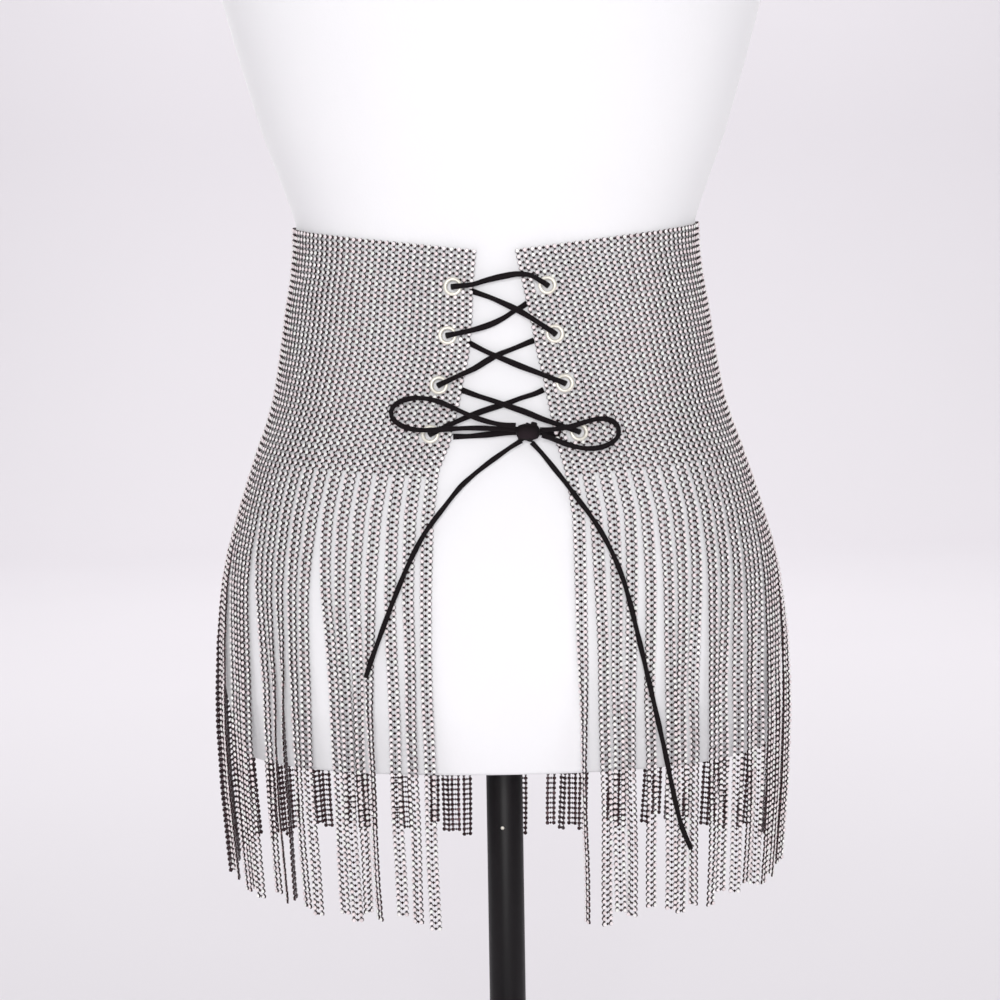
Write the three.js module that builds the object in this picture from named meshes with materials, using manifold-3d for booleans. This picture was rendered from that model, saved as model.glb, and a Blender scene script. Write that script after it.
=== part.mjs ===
// A rhinestone mesh corset belt with a long fringe, laced at the front with a flat black cord and
// worn by a plain limbless dress form on a pole and a round base.
// Millimetres, +Z up, +X to the right as seen from the front, the front towards -Y.
// The origin is at the centre of the base, on the surface that it stands on.
import * as THREE from "three";
import { mergeVertices } from "three/addons/utils/BufferGeometryUtils.js";
import Module from "manifold-3d";

// Driving dimensions.
const BASE_RADIUS = 150;
const BASE_HEIGHT = 12;
const BASE_EDGE = 2;
const POLE_RADIUS = 10.5;
const ROUND_SIDES = 40;
const POLE_SIDES = 24;
const SEAM_GAP = 0.3;
const FORM_SIDES = 36;
const CLOTH_CLEARANCE = 0.7; // between the form and the mesh cloth
const LACING_CLEARANCE = 1.8; // more of it beside the lacing, where the lace runs behind the cloth
const LACING_REACH = 45; // how far the cloth is lifted beside each front edge
const CLOTH_THICKNESS = 1.6;
const BAND_COLUMNS = 50;
const BAND_ROWS = 6;
const FIRST_SHARE = 0.04; // of the edges' table, at the right front edge
const LAST_SHARE = 0.96; // and at the left one
const LIFT_RAMP = 1.6; // the lift beside the lacing starts to fall at 1 - 1 / LIFT_RAMP of its reach
const LIFT_BOTTOM = 458; // the height where that lift starts
const LIFT_RISE = 12; // and the height in which it grows to the whole
const TYPICAL_ROUND = 750; // a length round the body, near enough to turn millimetres into shares
const STRANDS = 84;
const STRAND_WIDTH = 6.4;
const STRAND_THICKNESS = 1.2;
const LOCK_PITCH = 6.9; // from strand to strand where they hang close together
const HANG_LENGTH = 130; // below its root, where a strand has reached its place in its lock
// How much wider than evenly the strands' roots stand in front and at the sides, and their ends.
const FRONT_SPREAD = 0.1;
const SIDE_SPREAD = 0.05;
const HANG_SPREAD = -0.087;
const STRIP_HEIGHT = 4;
const STRIP_COLUMNS = 12;
const ROOT_DEPTH = 1.5; // how far below the strip's top a strand starts
const EYELET_HOLE = 4;
const EYELET_SIDES = 12;
const PUNCH_LENGTH = 16;
const LACE_WIDTH = 3.4;
const LACE_THICKNESS = 1.4;
const LACE_SIDES = 8;
const TAIL_STEP = 9.5; // between the sections of the lace's hanging ends

// Level sections of the dress form: height, half width, half depth, shift of the centre forward,
// and the power of the oval, 2 for a true ellipse and more for a squarer one.
const FORM_ROWS = [
  { z: 300, halfWidth: 152, halfDepth: 108, forward: 0, power: 2.3 },
  { z: 336, halfWidth: 158.5, halfDepth: 114.5, forward: 0, power: 2.3 },
  { z: 361, halfWidth: 159, halfDepth: 115.5, forward: 0, power: 2.3 },
  { z: 381, halfWidth: 157.5, halfDepth: 114.5, forward: 0, power: 2.3 },
  { z: 398, halfWidth: 155.5, halfDepth: 113, forward: 0, power: 2.3 },
  { z: 413, halfWidth: 152.5, halfDepth: 111, forward: 0, power: 2.3 },
  { z: 437, halfWidth: 145.5, halfDepth: 106.5, forward: 0, power: 2.3 },
  { z: 451, halfWidth: 141, halfDepth: 103.5, forward: 0, power: 2.3 },
  { z: 467, halfWidth: 135.5, halfDepth: 100, forward: 0, power: 2.3 },
  { z: 480, halfWidth: 130.5, halfDepth: 97, forward: 0, power: 2.3 },
  { z: 496, halfWidth: 125.5, halfDepth: 93.5, forward: 0, power: 2.3 },
  { z: 511, halfWidth: 122.7, halfDepth: 91.5, forward: 0, power: 2.3 },
  { z: 528, halfWidth: 120, halfDepth: 89.8, forward: 0, power: 2.3 },
  { z: 547, halfWidth: 117.2, halfDepth: 88, forward: 0, power: 2.3 },
  { z: 565, halfWidth: 114, halfDepth: 86, forward: 0, power: 2.3 },
  { z: 580, halfWidth: 112.5, halfDepth: 85.2, forward: 0, power: 2.3 },
  { z: 594, halfWidth: 112.2, halfDepth: 85, forward: 0, power: 2.3 },
  { z: 606, halfWidth: 116, halfDepth: 87, forward: 0, power: 2.3 },
  { z: 642, halfWidth: 129, halfDepth: 94, forward: 1, power: 2.3 },
  { z: 680, halfWidth: 140, halfDepth: 101, forward: 3, power: 2.3 },
  { z: 718, halfWidth: 150, halfDepth: 109, forward: 6, power: 2.3 },
  { z: 756, halfWidth: 158, halfDepth: 114.5, forward: 8, power: 2.3 },
  { z: 800, halfWidth: 163, halfDepth: 113.5, forward: 6, power: 2.3 },
  { z: 836, halfWidth: 162, halfDepth: 106, forward: 2, power: 2.3 },
  { z: 866, halfWidth: 154, halfDepth: 96, forward: -1, power: 2.3 },
  { z: 892, halfWidth: 138, halfDepth: 85, forward: -4, power: 2.25 },
  { z: 913, halfWidth: 112, halfDepth: 75, forward: -5, power: 2.2 },
  { z: 930, halfWidth: 86, halfDepth: 66, forward: -5, power: 2.15 },
  { z: 944, halfWidth: 67, halfDepth: 59, forward: -4, power: 2.1 },
  { z: 962, halfWidth: 57, halfDepth: 53, forward: -2, power: 2 },
  { z: 998, halfWidth: 53, halfDepth: 51, forward: 2, power: 2 },
  { z: 1008, halfWidth: 49, halfDepth: 47, forward: 2, power: 2 },
  { z: 1012, halfWidth: 40, halfDepth: 38, forward: 2, power: 2 },
];

// Level sections of the surface that the fringe hangs on, through the middle of its strands.
const FALL_ROWS = [
  { z: 205, halfWidth: 155, halfDepth: 114.2, forward: 0, power: 2.3 },
  { z: 223, halfWidth: 156.1, halfDepth: 115, forward: 0, power: 2.3 },
  { z: 245, halfWidth: 158.1, halfDepth: 116, forward: 0, power: 2.3 },
  { z: 278, halfWidth: 160.7, halfDepth: 117, forward: 0, power: 2.3 },
  { z: 316, halfWidth: 162.1, halfDepth: 118, forward: 0, power: 2.3 },
  { z: 336, halfWidth: 162.1, halfDepth: 118.2, forward: 0, power: 2.3 },
  { z: 361, halfWidth: 161.3, halfDepth: 117.8, forward: 0, power: 2.3 },
  { z: 381, halfWidth: 159.5, halfDepth: 116.5, forward: 0, power: 2.3 },
  { z: 398, halfWidth: 157.4, halfDepth: 114.9, forward: 0, power: 2.3 },
  { z: 413, halfWidth: 154.3, halfDepth: 112.8, forward: 0, power: 2.3 },
  { z: 437, halfWidth: 147.2, halfDepth: 108.2, forward: 0, power: 2.3 },
  { z: 451, halfWidth: 142.6, halfDepth: 105.1, forward: 0, power: 2.3 },
  { z: 480, halfWidth: 132, halfDepth: 98.5, forward: 0, power: 2.3 },
];
const STRAND_LEVELS = [440, 418, 390, 345]; // between a strand's root and its end

// The edges of the cloth by share of the way round from the front centre to the back centre:
// the top edge, the line where the slits start, and the ends of the strands.
const EDGE_ROWS = [
  { share: 0.0, top: 573.5, slit: 455, hem: 216.5 },
  { share: 0.04, top: 577, slit: 457, hem: 219 },
  { share: 0.1, top: 581.8, slit: 460, hem: 223 },
  { share: 0.18, top: 588, slit: 464, hem: 227 },
  { share: 0.25, top: 593, slit: 467.5, hem: 229 },
  { share: 0.32, top: 594.5, slit: 469, hem: 228 },
  { share: 0.36, top: 594.5, slit: 469, hem: 229 },
  { share: 0.43, top: 594.5, slit: 469, hem: 222 },
  { share: 0.5, top: 594.5, slit: 469, hem: 212 },
];

// The front edges of the two fronts, and of the fringe below them: x by height.
const FRONT_EDGES = [
  { z: 205, left: -33, right: 39 },
  { z: 336, left: -35, right: 37.5 },
  { z: 395, left: -35, right: 37 },
  { z: 437, left: -33.5, right: 36.5 },
  { z: 461, left: -30.5, right: 32.7 },
  { z: 475, left: -24.5, right: 28.5 },
  { z: 495, left: -19.5, right: 24.8 },
  { z: 508, left: -17, right: 22.5 },
  { z: 521, left: -14, right: 19.5 },
  { z: 540, left: -12, right: 16.2 },
  { z: 557, left: -11.4, right: 12.8 },
  { z: 576, left: -9.5, right: 9 },
];

// The eyelets, from the top down: the centre of each pair.
const EYELETS = [
  { name: "1", z: 557.5, left: -22.7, right: 26.2 },
  { name: "2", z: 532, left: -25.8, right: 29.7 },
  { name: "3", z: 506, left: -30.7, right: 34.4 },
  { name: "4", z: 480.5, left: -35.5, right: 41.3 },
];

// How the strands hang together, from the right front edge round the back to the left one.
// Each number is a lock of strands that hang close, with a gap to the next lock.
const LOCKS = [
  1, 3, 1, 3, 2, 1, 2, 3, 3, 2, 4, 2, 3, 1, 3, 2, 4, 2, 1, 4, 2, 3, 2, 4, 1, 4, 3, 3, 3, 5, 4, 1, 1, 1,
];
// Small differences between neighbouring strands at their ends, used in turn: how much longer a
// strand is, how far it drifts sideways, and how far it turns on itself, in degrees.
const STRAND_DIFFERENCES = [
  { longer: 0, drift: 0.1, turn: 6 },
  { longer: 2.5, drift: -0.2, turn: -14 },
  { longer: -1.5, drift: 0.2, turn: 10 },
  { longer: 1, drift: 0, turn: 48 },
  { longer: -3, drift: -0.1, turn: -8 },
  { longer: 0.5, drift: 0.2, turn: 20 },
  { longer: 3.5, drift: -0.2, turn: -4 },
];
const FRINGE_PARTS = ["front_right", "back_right", "back_left", "front_left"];

// Routes of the lace: x, height and distance from the form or the fringe to the lace's middle.
// A route that names an eyelet starts or ends in its hole, from the front.
const BEHIND = 1.2; // between the form and the cloth
const OUT_OF_HOLE = [
  { along: -0.6, out: 3.4 },
  { along: 0.7, out: 5.5 },
  { along: 2.6, out: 7 },
  { along: 5.8, out: 7 },
];
const LACE_ROUTES = [
  {
    name: "lace_top_bar",
    from: "left_1",
    points: [[-13, 558.3, 6.6], [-5, 560.6, 5.8], [3, 562.4, 5.6], [11.5, 563.6, 5.8], [18, 562.6, 6.7]],
    to: "right_1",
  },
  {
    name: "lace_cross_1_over",
    points: [
      [-19, 556.9, BEHIND], [-13.5, 555.2, BEHIND], [-8.5, 553.4, 2.2], [-3.6, 551.6, 3.8], [4.2, 548, 4.9],
      [10.5, 544.8, 5.6], [17, 540.8, 6.3],
    ],
    to: "right_2",
  },
  {
    name: "lace_cross_1_under",
    from: "left_2",
    points: [
      [-15, 534.1, 5.8], [-8, 535.9, 4.4], [-2, 538, 2.9], [4, 541, 2.1], [9, 544.2, 1.5], [14, 547, BEHIND],
      [19.5, 551, BEHIND],
    ],
  },
  {
    name: "lace_cross_2_over",
    points: [
      [-21, 530.4, BEHIND], [-14.5, 527.6, BEHIND], [-8, 524.2, 2.7], [-1.4, 521.1, 4.6], [5, 518.3, 5],
      [11.6, 515.4, 5.6], [20, 512, 6.4],
    ],
    to: "right_3",
  },
  {
    name: "lace_cross_2_under",
    from: "left_3",
    points: [
      [-20, 511, 5.8], [-12, 514.6, 4.5], [-5, 518.8, 2.8], [1, 521.8, 2.2], [8, 524.4, 1.6],
      [17, 527.9, BEHIND], [23, 530.2, BEHIND],
    ],
  },
  {
    name: "lace_cross_3_over",
    points: [
      [-25, 505.6, BEHIND], [-18, 502.8, BEHIND], [-11, 500.2, 2.4], [-3, 497.6, 4.3], [4, 495, 4.9],
      [13.8, 491.4, 5.6], [21.6, 488, 6], [29, 485.2, 6.6],
    ],
    to: "right_4",
  },
  {
    name: "lace_cross_3_under",
    from: "left_4",
    points: [
      [-24, 486, 6.4], [-15, 489.8, 5], [-5, 493.2, 2.9], [3, 495.4, 2.1], [12, 498.6, 1.6], [20, 501, BEHIND],
      [27.5, 504.6, BEHIND],
    ],
  },
  {
    name: "lace_end_left",
    points: [
      [-30, 479, BEHIND], [-22, 479, BEHIND], [-15, 479.2, 2.2], [-8, 479.8, 3.6], [-1, 480.4, 5], [5, 480.8, 6.4],
      [9.4, 481, 7.2],
    ],
  },
  {
    name: "lace_end_right",
    points: [
      [36, 479.4, BEHIND], [32, 479.2, BEHIND], [28, 479.4, BEHIND], [25.4, 479.8, 2], [23, 480.4, 3.8],
      [20.8, 480.8, 5.8],
    ],
  },
];
const KNOT = { x: 15.2, z: 481, out: 7.8, halfWidth: 5.2, halfHeight: 4.6, halfDepth: 3.4, sides: 14, rings: 8 };
const BOW_ROUTES = {
  bow_loop_left: [
    [9.4, 482.8, 9.8], [2, 483.2, 10.2], [-7, 483.6, 10.2], [-16, 483.8, 10.2], [-26, 483.4, 10.4], [-35, 483, 10.6],
    [-42.5, 483.4, 11], [-49, 485.8, 11.6], [-53, 490.2, 12.2], [-52.4, 494.8, 12.8], [-48, 498.2, 13.2], [-42, 499.7, 13.4],
    [-34.5, 499.2, 13.4], [-27.5, 496.9, 13.4], [-20, 493.2, 13.2], [-12.5, 489.6, 12.9], [-4.5, 486.8, 12.6], [2.5, 485.4, 12.4],
    [8.6, 484.9, 12.1],
  ],
  bow_loop_right: [
    [20.8, 482.2, 9], [26.5, 482.4, 9.8], [32.5, 483, 10.4], [38.5, 484.4, 10.9], [44.5, 486.3, 11.2], [50.3, 487.4, 11.6],
    [55.8, 486.4, 12], [59, 482.6, 12.4], [58.6, 478, 12.8], [55, 474.6, 13], [49.5, 472.6, 13], [43.5, 472.3, 12.9],
    [37.5, 473.5, 12.8], [31.5, 475.6, 12.5], [26.4, 477.8, 12], [21.6, 479.4, 11.2],
  ],
  lace_tail_left: [
    [11.4, 476.8, 8], [6.2, 473.6, 6.6], [0.4, 469.6, 5.2], [-5, 465.8, 4.4], [-10.2, 461.9, 4], [-15, 458, 4], [-19.7, 453.8, 4.2],
    [-24, 449, 4.6], [-28.4, 443.4, 5.2], [-33.5, 437, 5], [-38.8, 429.8, 4.2], [-43.4, 422, 3.6], [-48.2, 412.6, 3.2],
    [-52.6, 402.6, 3], [-56.6, 393, 3], [-60.4, 383.2, 3], [-64.2, 373.2, 3], [-67.8, 363.6, 3], [-71, 354.2, 3],
  ],
  lace_tail_right: [
    [16.6, 475.8, 8], [21.3, 470.6, 6.6], [27, 463.4, 5], [33, 455.6, 4.4], [38.9, 447.6, 4], [45, 439.4, 3.6], [50.6, 431, 3.3],
    [55.2, 422.6, 3.1], [59.4, 413.4, 3], [63.2, 403, 3], [66.3, 391.6, 3], [69.1, 379.6, 3], [72, 366.6, 3], [75, 353, 3],
    [78, 339.2, 3], [81, 325.2, 3], [84, 311, 3], [86.7, 297, 3], [89.4, 283.2, 3], [92.6, 270.2, 3], [97.5, 257.2, 3],
  ],
};
const FIRST_TAIL_POINT_ON_FRINGE = 452; // below this height a tail lies on the fringe

// Materials.
const whiteForm = new THREE.MeshStandardMaterial({ color: 0xf4f2f1, roughness: 0.75, metalness: 0 });
const blackStand = new THREE.MeshStandardMaterial({ color: 0x0b0b0c, roughness: 0.4, metalness: 0.2 });
const crystalMesh = new THREE.MeshStandardMaterial({ color: 0xa9a6a4, roughness: 0.3, metalness: 0.7 });
const blackCord = new THREE.MeshStandardMaterial({ color: 0x17171a, roughness: 0.9, metalness: 0 });
const paleMetal = new THREE.MeshStandardMaterial({ color: 0xcfc8ba, roughness: 0.3, metalness: 1 });

const lerp = THREE.MathUtils.lerp;
const smoothStep = (value) => THREE.MathUtils.smoothstep(value, 0, 1);

// The value of a table's columns at a key, straight between its rows.
function readTable(rows, key, value) {
  const last = rows.length - 1;
  let next = rows.findIndex((row) => row[key] >= value);
  if (next === -1) next = last;
  const above = rows[Math.max(next, 1)];
  const below = rows[Math.max(next, 1) - 1];
  const part = THREE.MathUtils.clamp((value - below[key]) / (above[key] - below[key]), 0, 1);
  const found = {};
  for (const name of Object.keys(above)) {
    if (name !== key) found[name] = lerp(below[name], above[name], part);
  }
  return found;
}

// A point of a level section, at an angle from the front towards the right.
function ovalPoint(section, angle) {
  const power = 2 / section.power;
  const side = Math.sin(angle);
  const front = Math.cos(angle);
  return new THREE.Vector2(
    section.halfWidth * Math.sign(side) * Math.abs(side) ** power,
    -section.halfDepth * Math.sign(front) * Math.abs(front) ** power - section.forward,
  );
}

// A level section with its points' distances from the front centre, for even spacing.
const ARC_STEPS = 720;
const sectionCache = new Map();
function sectionAt(rows, z) {
  const key = `${rows.length}:${z.toFixed(3)}`;
  if (!sectionCache.has(key)) {
    const oval = readTable(rows, "z", z);
    const points = [];
    const along = [0];
    for (let step = 0; step <= ARC_STEPS; step += 1) {
      points.push(ovalPoint(oval, (2 * Math.PI * step) / ARC_STEPS));
      if (step > 0) along.push(along[step - 1] + points[step].distanceTo(points[step - 1]));
    }
    sectionCache.set(key, { points, along, length: along[ARC_STEPS], z });
  }
  return sectionCache.get(key);
}

// The place at a share of the way round a section: its point, outward and sideways directions.
function placeOn(rows, z, share) {
  const section = sectionAt(rows, z);
  const wanted = (share - Math.floor(share)) * section.length;
  const step = Math.max(1, section.along.findIndex((distance) => distance >= wanted));
  const from = section.points[step - 1];
  const to = section.points[step];
  const part = (wanted - section.along[step - 1]) / (section.along[step] - section.along[step - 1]);
  const sideways = new THREE.Vector3(to.x - from.x, to.y - from.y, 0).normalize();
  return {
    point: new THREE.Vector3(lerp(from.x, to.x, part), lerp(from.y, to.y, part), z),
    outward: new THREE.Vector3(sideways.y, -sideways.x, 0),
    sideways,
  };
}

function liftedPoint(rows, z, share, lift) {
  const place = placeOn(rows, z, share);
  return place.point.addScaledVector(place.outward, lift);
}

// The share of the way round at which a section reaches an x on the front.
function shareAtX(rows, z, x) {
  const section = sectionAt(rows, z);
  const target = Math.abs(x);
  const step = section.points.findIndex((point) => point.x >= target);
  const part = (target - section.points[step - 1].x) / (section.points[step].x - section.points[step - 1].x);
  const share = lerp(section.along[step - 1], section.along[step], part) / section.length;
  return x < 0 ? -share : share;
}

// A closed body through rings of points, all with the same count, with both ends closed.
// The rings run the way that makes the faces point out: anticlockwise seen from the last ring.
function loftGeometry(rings) {
  const sides = rings[0].length;
  const positions = rings.flat().flatMap((point) => [point.x, point.y, point.z]);
  const indices = [];
  for (let ring = 0; ring < rings.length - 1; ring += 1) {
    for (let side = 0; side < sides; side += 1) {
      const next = (side + 1) % sides;
      const a = ring * sides + side;
      const b = ring * sides + next;
      indices.push(a, b, b + sides, a, b + sides, a + sides);
    }
  }
  for (const [ring, facesUp] of [[0, false], [rings.length - 1, true]]) {
    const start = ring * sides;
    for (let side = 1; side < sides - 1; side += 1) {
      indices.push(start, ...(facesUp ? [start + side, start + side + 1] : [start + side + 1, start + side]));
    }
  }
  return indexedGeometry(positions, indices);
}

function indexedGeometry(positions, indices) {
  const geometry = new THREE.BufferGeometry();
  geometry.setAttribute("position", new THREE.Float32BufferAttribute(positions, 3));
  geometry.setIndex(indices);
  geometry.computeVertexNormals();
  return geometry;
}

// A closed thin wall between an outer and an inner grid of points, rows from the top down and
// columns from the right front edge round the back.
function wallGeometry(outer, inner) {
  const rows = outer.length;
  const columns = outer[0].length;
  const positions = [...outer, ...inner].flat().flatMap((point) => [point.x, point.y, point.z]);
  const indices = [];
  const outerAt = (row, column) => row * columns + column;
  const innerAt = (row, column) => rows * columns + outerAt(row, column);
  const quad = (a, b, c, d) => indices.push(a, b, c, a, c, d);
  for (let row = 0; row < rows - 1; row += 1) {
    for (let column = 0; column < columns - 1; column += 1) {
      quad(outerAt(row, column), outerAt(row + 1, column), outerAt(row + 1, column + 1), outerAt(row, column + 1));
      quad(innerAt(row, column), innerAt(row, column + 1), innerAt(row + 1, column + 1), innerAt(row + 1, column));
    }
    quad(outerAt(row, 0), innerAt(row, 0), innerAt(row + 1, 0), outerAt(row + 1, 0));
    const end = columns - 1;
    quad(outerAt(row, end), outerAt(row + 1, end), innerAt(row + 1, end), innerAt(row, end));
  }
  for (let column = 0; column < columns - 1; column += 1) {
    quad(outerAt(0, column), outerAt(0, column + 1), innerAt(0, column + 1), innerAt(0, column));
    const end = rows - 1;
    quad(outerAt(end, column), innerAt(end, column), innerAt(end, column + 1), outerAt(end, column + 1));
  }
  return indexedGeometry(positions, indices);
}

const wasm = await Module();
wasm.setup();

function toSolid(geometry) {
  const bare = geometry.clone();
  bare.deleteAttribute("normal");
  bare.deleteAttribute("uv");
  const merged = mergeVertices(bare, 1e-3);
  return new wasm.Manifold(
    new wasm.Mesh({
      numProp: 3,
      vertProperties: new Float32Array(merged.attributes.position.array),
      triVerts: new Uint32Array(merged.index.array),
    }),
  );
}

function fromSolid(solid) {
  const mesh = solid.getMesh();
  return indexedGeometry(mesh.vertProperties, Array.from(mesh.triVerts));
}

const belt = new THREE.Group();
function addPiece(name, geometry, material) {
  const mesh = new THREE.Mesh(geometry, material);
  mesh.name = name;
  belt.add(mesh);
  return mesh;
}

// The base and the pole.
function addStand() {
  const profile = [
    [0, 0],
    [BASE_RADIUS, 0],
    [BASE_RADIUS, BASE_HEIGHT - BASE_EDGE],
    [BASE_RADIUS - BASE_EDGE, BASE_HEIGHT],
    [0, BASE_HEIGHT],
  ].map(([x, y]) => new THREE.Vector2(x, y));
  const base = new THREE.LatheGeometry(profile, ROUND_SIDES).rotateX(Math.PI / 2);
  addPiece("stand_base", base, blackStand);

  const bottom = BASE_HEIGHT + SEAM_GAP;
  const top = FORM_ROWS[0].z - SEAM_GAP;
  const pole = new THREE.CylinderGeometry(POLE_RADIUS, POLE_RADIUS, top - bottom, POLE_SIDES).rotateX(Math.PI / 2);
  addPiece("stand_pole", pole, blackStand).position.z = (bottom + top) / 2;
}

// The dress form, a smooth closed body with a flat underside.
function addForm() {
  const rings = FORM_ROWS.map((row) => {
    const section = sectionAt(FORM_ROWS, row.z);
    return Array.from({ length: FORM_SIDES }, (_, side) => liftedPoint(FORM_ROWS, section.z, side / FORM_SIDES, 0));
  });
  addPiece("dress_form", loftGeometry(rings), whiteForm);
}

// The shares of the right and the left front edge at a height, the left one below 1.
function frontShares(rows, z) {
  const edges = readTable(FRONT_EDGES, "z", z);
  return { right: shareAtX(rows, z, edges.right), left: 1 + shareAtX(rows, z, edges.left) };
}

function edgesAt(share) {
  return readTable(EDGE_ROWS, "share", Math.min(share, 1 - share));
}

// A place on the cloth: how far along from the right front edge, and how far down, each 0 to 1.
function clothPlace(along, down) {
  const edges = edgesAt(lerp(FIRST_SHARE, LAST_SHARE, along));
  const z = lerp(edges.top, edges.slit, down);
  const shares = frontShares(FORM_ROWS, z);
  return { z, share: lerp(shares.right, shares.left, along) };
}

// The distance from the form to the cloth's inner face, more beside the lacing.
function clothLift(place) {
  const round = sectionAt(FORM_ROWS, place.z).length;
  const shares = frontShares(FORM_ROWS, place.z);
  const fromEdge = Math.min(place.share - shares.right, shares.left - place.share) * round;
  const beside = smoothStep(LIFT_RAMP - (LIFT_RAMP * fromEdge) / LACING_REACH);
  const above = smoothStep((place.z - LIFT_BOTTOM) / LIFT_RISE);
  return CLOTH_CLEARANCE + LACING_CLEARANCE * beside * above;
}

function clothPoint(place, depth) {
  return liftedPoint(FORM_ROWS, place.z, place.share, clothLift(place) + depth);
}

// The direction in which the cloth's outer face looks, from four points round a place.
function clothNormal(place) {
  const sideStep = EYELET_HOLE / TYPICAL_ROUND;
  const offset = (sideways, up) =>
    clothPoint({ z: place.z + up * EYELET_HOLE, share: place.share + sideways * sideStep }, CLOTH_THICKNESS);
  const across = offset(1, 0).sub(offset(-1, 0));
  const upward = offset(0, 1).sub(offset(0, -1));
  return across.cross(upward).normalize();
}

// The band of rhinestone mesh, one piece round the body, open at the front, with eyelet holes.
function addBand() {
  const grid = (depth) =>
    Array.from({ length: BAND_ROWS + 1 }, (_, row) =>
      Array.from({ length: BAND_COLUMNS + 1 }, (_, column) =>
        clothPoint(clothPlace(column / BAND_COLUMNS, row / BAND_ROWS), depth),
      ),
    );
  let band = toSolid(wallGeometry(grid(CLOTH_THICKNESS), grid(0)));
  for (const eyelet of EYELETS) {
    for (const side of ["left", "right"]) {
      const punch = new THREE.CylinderGeometry(EYELET_HOLE, EYELET_HOLE, PUNCH_LENGTH, EYELET_SIDES);
      punch.applyMatrix4(eyeletMatrix(eyelet, side));
      band = band.subtract(toSolid(punch));
    }
  }
  addPiece("mesh_band", fromSolid(band), crystalMesh);
}

// Places a turned shape, whose axis is Y, on the cloth's outer face at an eyelet.
function eyeletMatrix(eyelet, side) {
  const share = shareAtX(FORM_ROWS, eyelet.z, eyelet[side]);
  const place = { z: eyelet.z, share: share < 0 ? 1 + share : share };
  const turn = new THREE.Quaternion().setFromUnitVectors(new THREE.Vector3(0, 1, 0), clothNormal(place));
  return new THREE.Matrix4().compose(clothPoint(place, CLOTH_THICKNESS), turn, new THREE.Vector3(1, 1, 1));
}

// Eight rolled metal eyelets. Each profile point is a radius and a height over the cloth.
function addEyelets() {
  const profile = [
    [3.1, -1.6],
    [3.6, -1.6],
    [3.6, 0.3],
    [4.95, 0.3],
    [4.7, 1],
    [3.8, 1.25],
    [3.1, 0.8],
    [3.1, -1.6],
  ].map(([x, y]) => new THREE.Vector2(x, y));
  for (const eyelet of EYELETS) {
    for (const side of ["left", "right"]) {
      const ring = new THREE.LatheGeometry(profile, EYELET_SIDES).applyMatrix4(eyeletMatrix(eyelet, side));
      addPiece(`eyelet_${side}_${eyelet.name}`, ring, paleMetal);
    }
  }
}

// Where each strand hangs below the hips, in strand pitches along the fringe: the strands of a
// lock close up around the lock's middle.
function strandOrder() {
  const places = [];
  let first = 0;
  for (const count of LOCKS) {
    for (let index = 0; index < count; index += 1) {
      places.push({ middle: first + count / 2, offset: index - (count - 1) / 2 });
    }
    first += count;
  }
  return places;
}

// Parts of the way round the body, set wider in front, and at the sides, than at the back.
function spread(part, front, side) {
  const turn = 2 * Math.PI * part;
  return part + (front * Math.sin(turn) - (side * Math.sin(2 * turn)) / 2) / (2 * Math.PI);
}

// One strand: a flat four-sided ribbon from its root in the strip down to its end.
function strandGeometry(number, order) {
  const spot = (number + 0.5) / STRANDS;
  const along = spread(spot, FRONT_SPREAD, SIDE_SPREAD);
  const root = clothPlace(along, 1);
  const difference = STRAND_DIFFERENCES[number % STRAND_DIFFERENCES.length];
  const end = edgesAt(lerp(FIRST_SHARE, LAST_SHARE, along)).hem - difference.longer;
  const rings = [ribbonRing(clothPoint({ ...root, z: root.z - ROOT_DEPTH }, CLOTH_THICKNESS / 2), root, 0)];
  for (const z of [...STRAND_LEVELS, end]) {
    const shares = frontShares(FALL_ROWS, z);
    const hang = smoothStep((root.z - z) / HANG_LENGTH);
    const round = sectionAt(FALL_ROWS, z).length;
    const close = Math.min(LOCK_PITCH / round, (shares.left - shares.right) / STRANDS);
    const free = lerp(shares.right, shares.left, along);
    const middle = lerp(shares.right, shares.left, spread(order.middle / STRANDS, HANG_SPREAD, 0));
    const locked = middle + order.offset * close;
    const atEnd = z === end ? 1 : 0;
    const share = lerp(free, locked, hang) + (atEnd * difference.drift) / round;
    const place = placeOn(FALL_ROWS, z, share);
    rings.push(ribbonRing(place.point, place, THREE.MathUtils.degToRad(atEnd * difference.turn)));
  }
  return loftGeometry(rings.reverse());
}

// Four corners of a ribbon's level section about a point.
function ribbonRing(point, place, turn) {
  const frame = place.outward ? place : placeOn(FORM_ROWS, place.z, place.share);
  const across = frame.sideways.clone().applyAxisAngle(new THREE.Vector3(0, 0, 1), turn);
  const out = frame.outward.clone().applyAxisAngle(new THREE.Vector3(0, 0, 1), turn);
  return [[-1, 1], [1, 1], [1, -1], [-1, -1]].map(([side, depth]) =>
    point
      .clone()
      .addScaledVector(across, (side * STRAND_WIDTH) / 2)
      .addScaledVector(out, (depth * STRAND_THICKNESS) / 2),
  );
}

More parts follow.
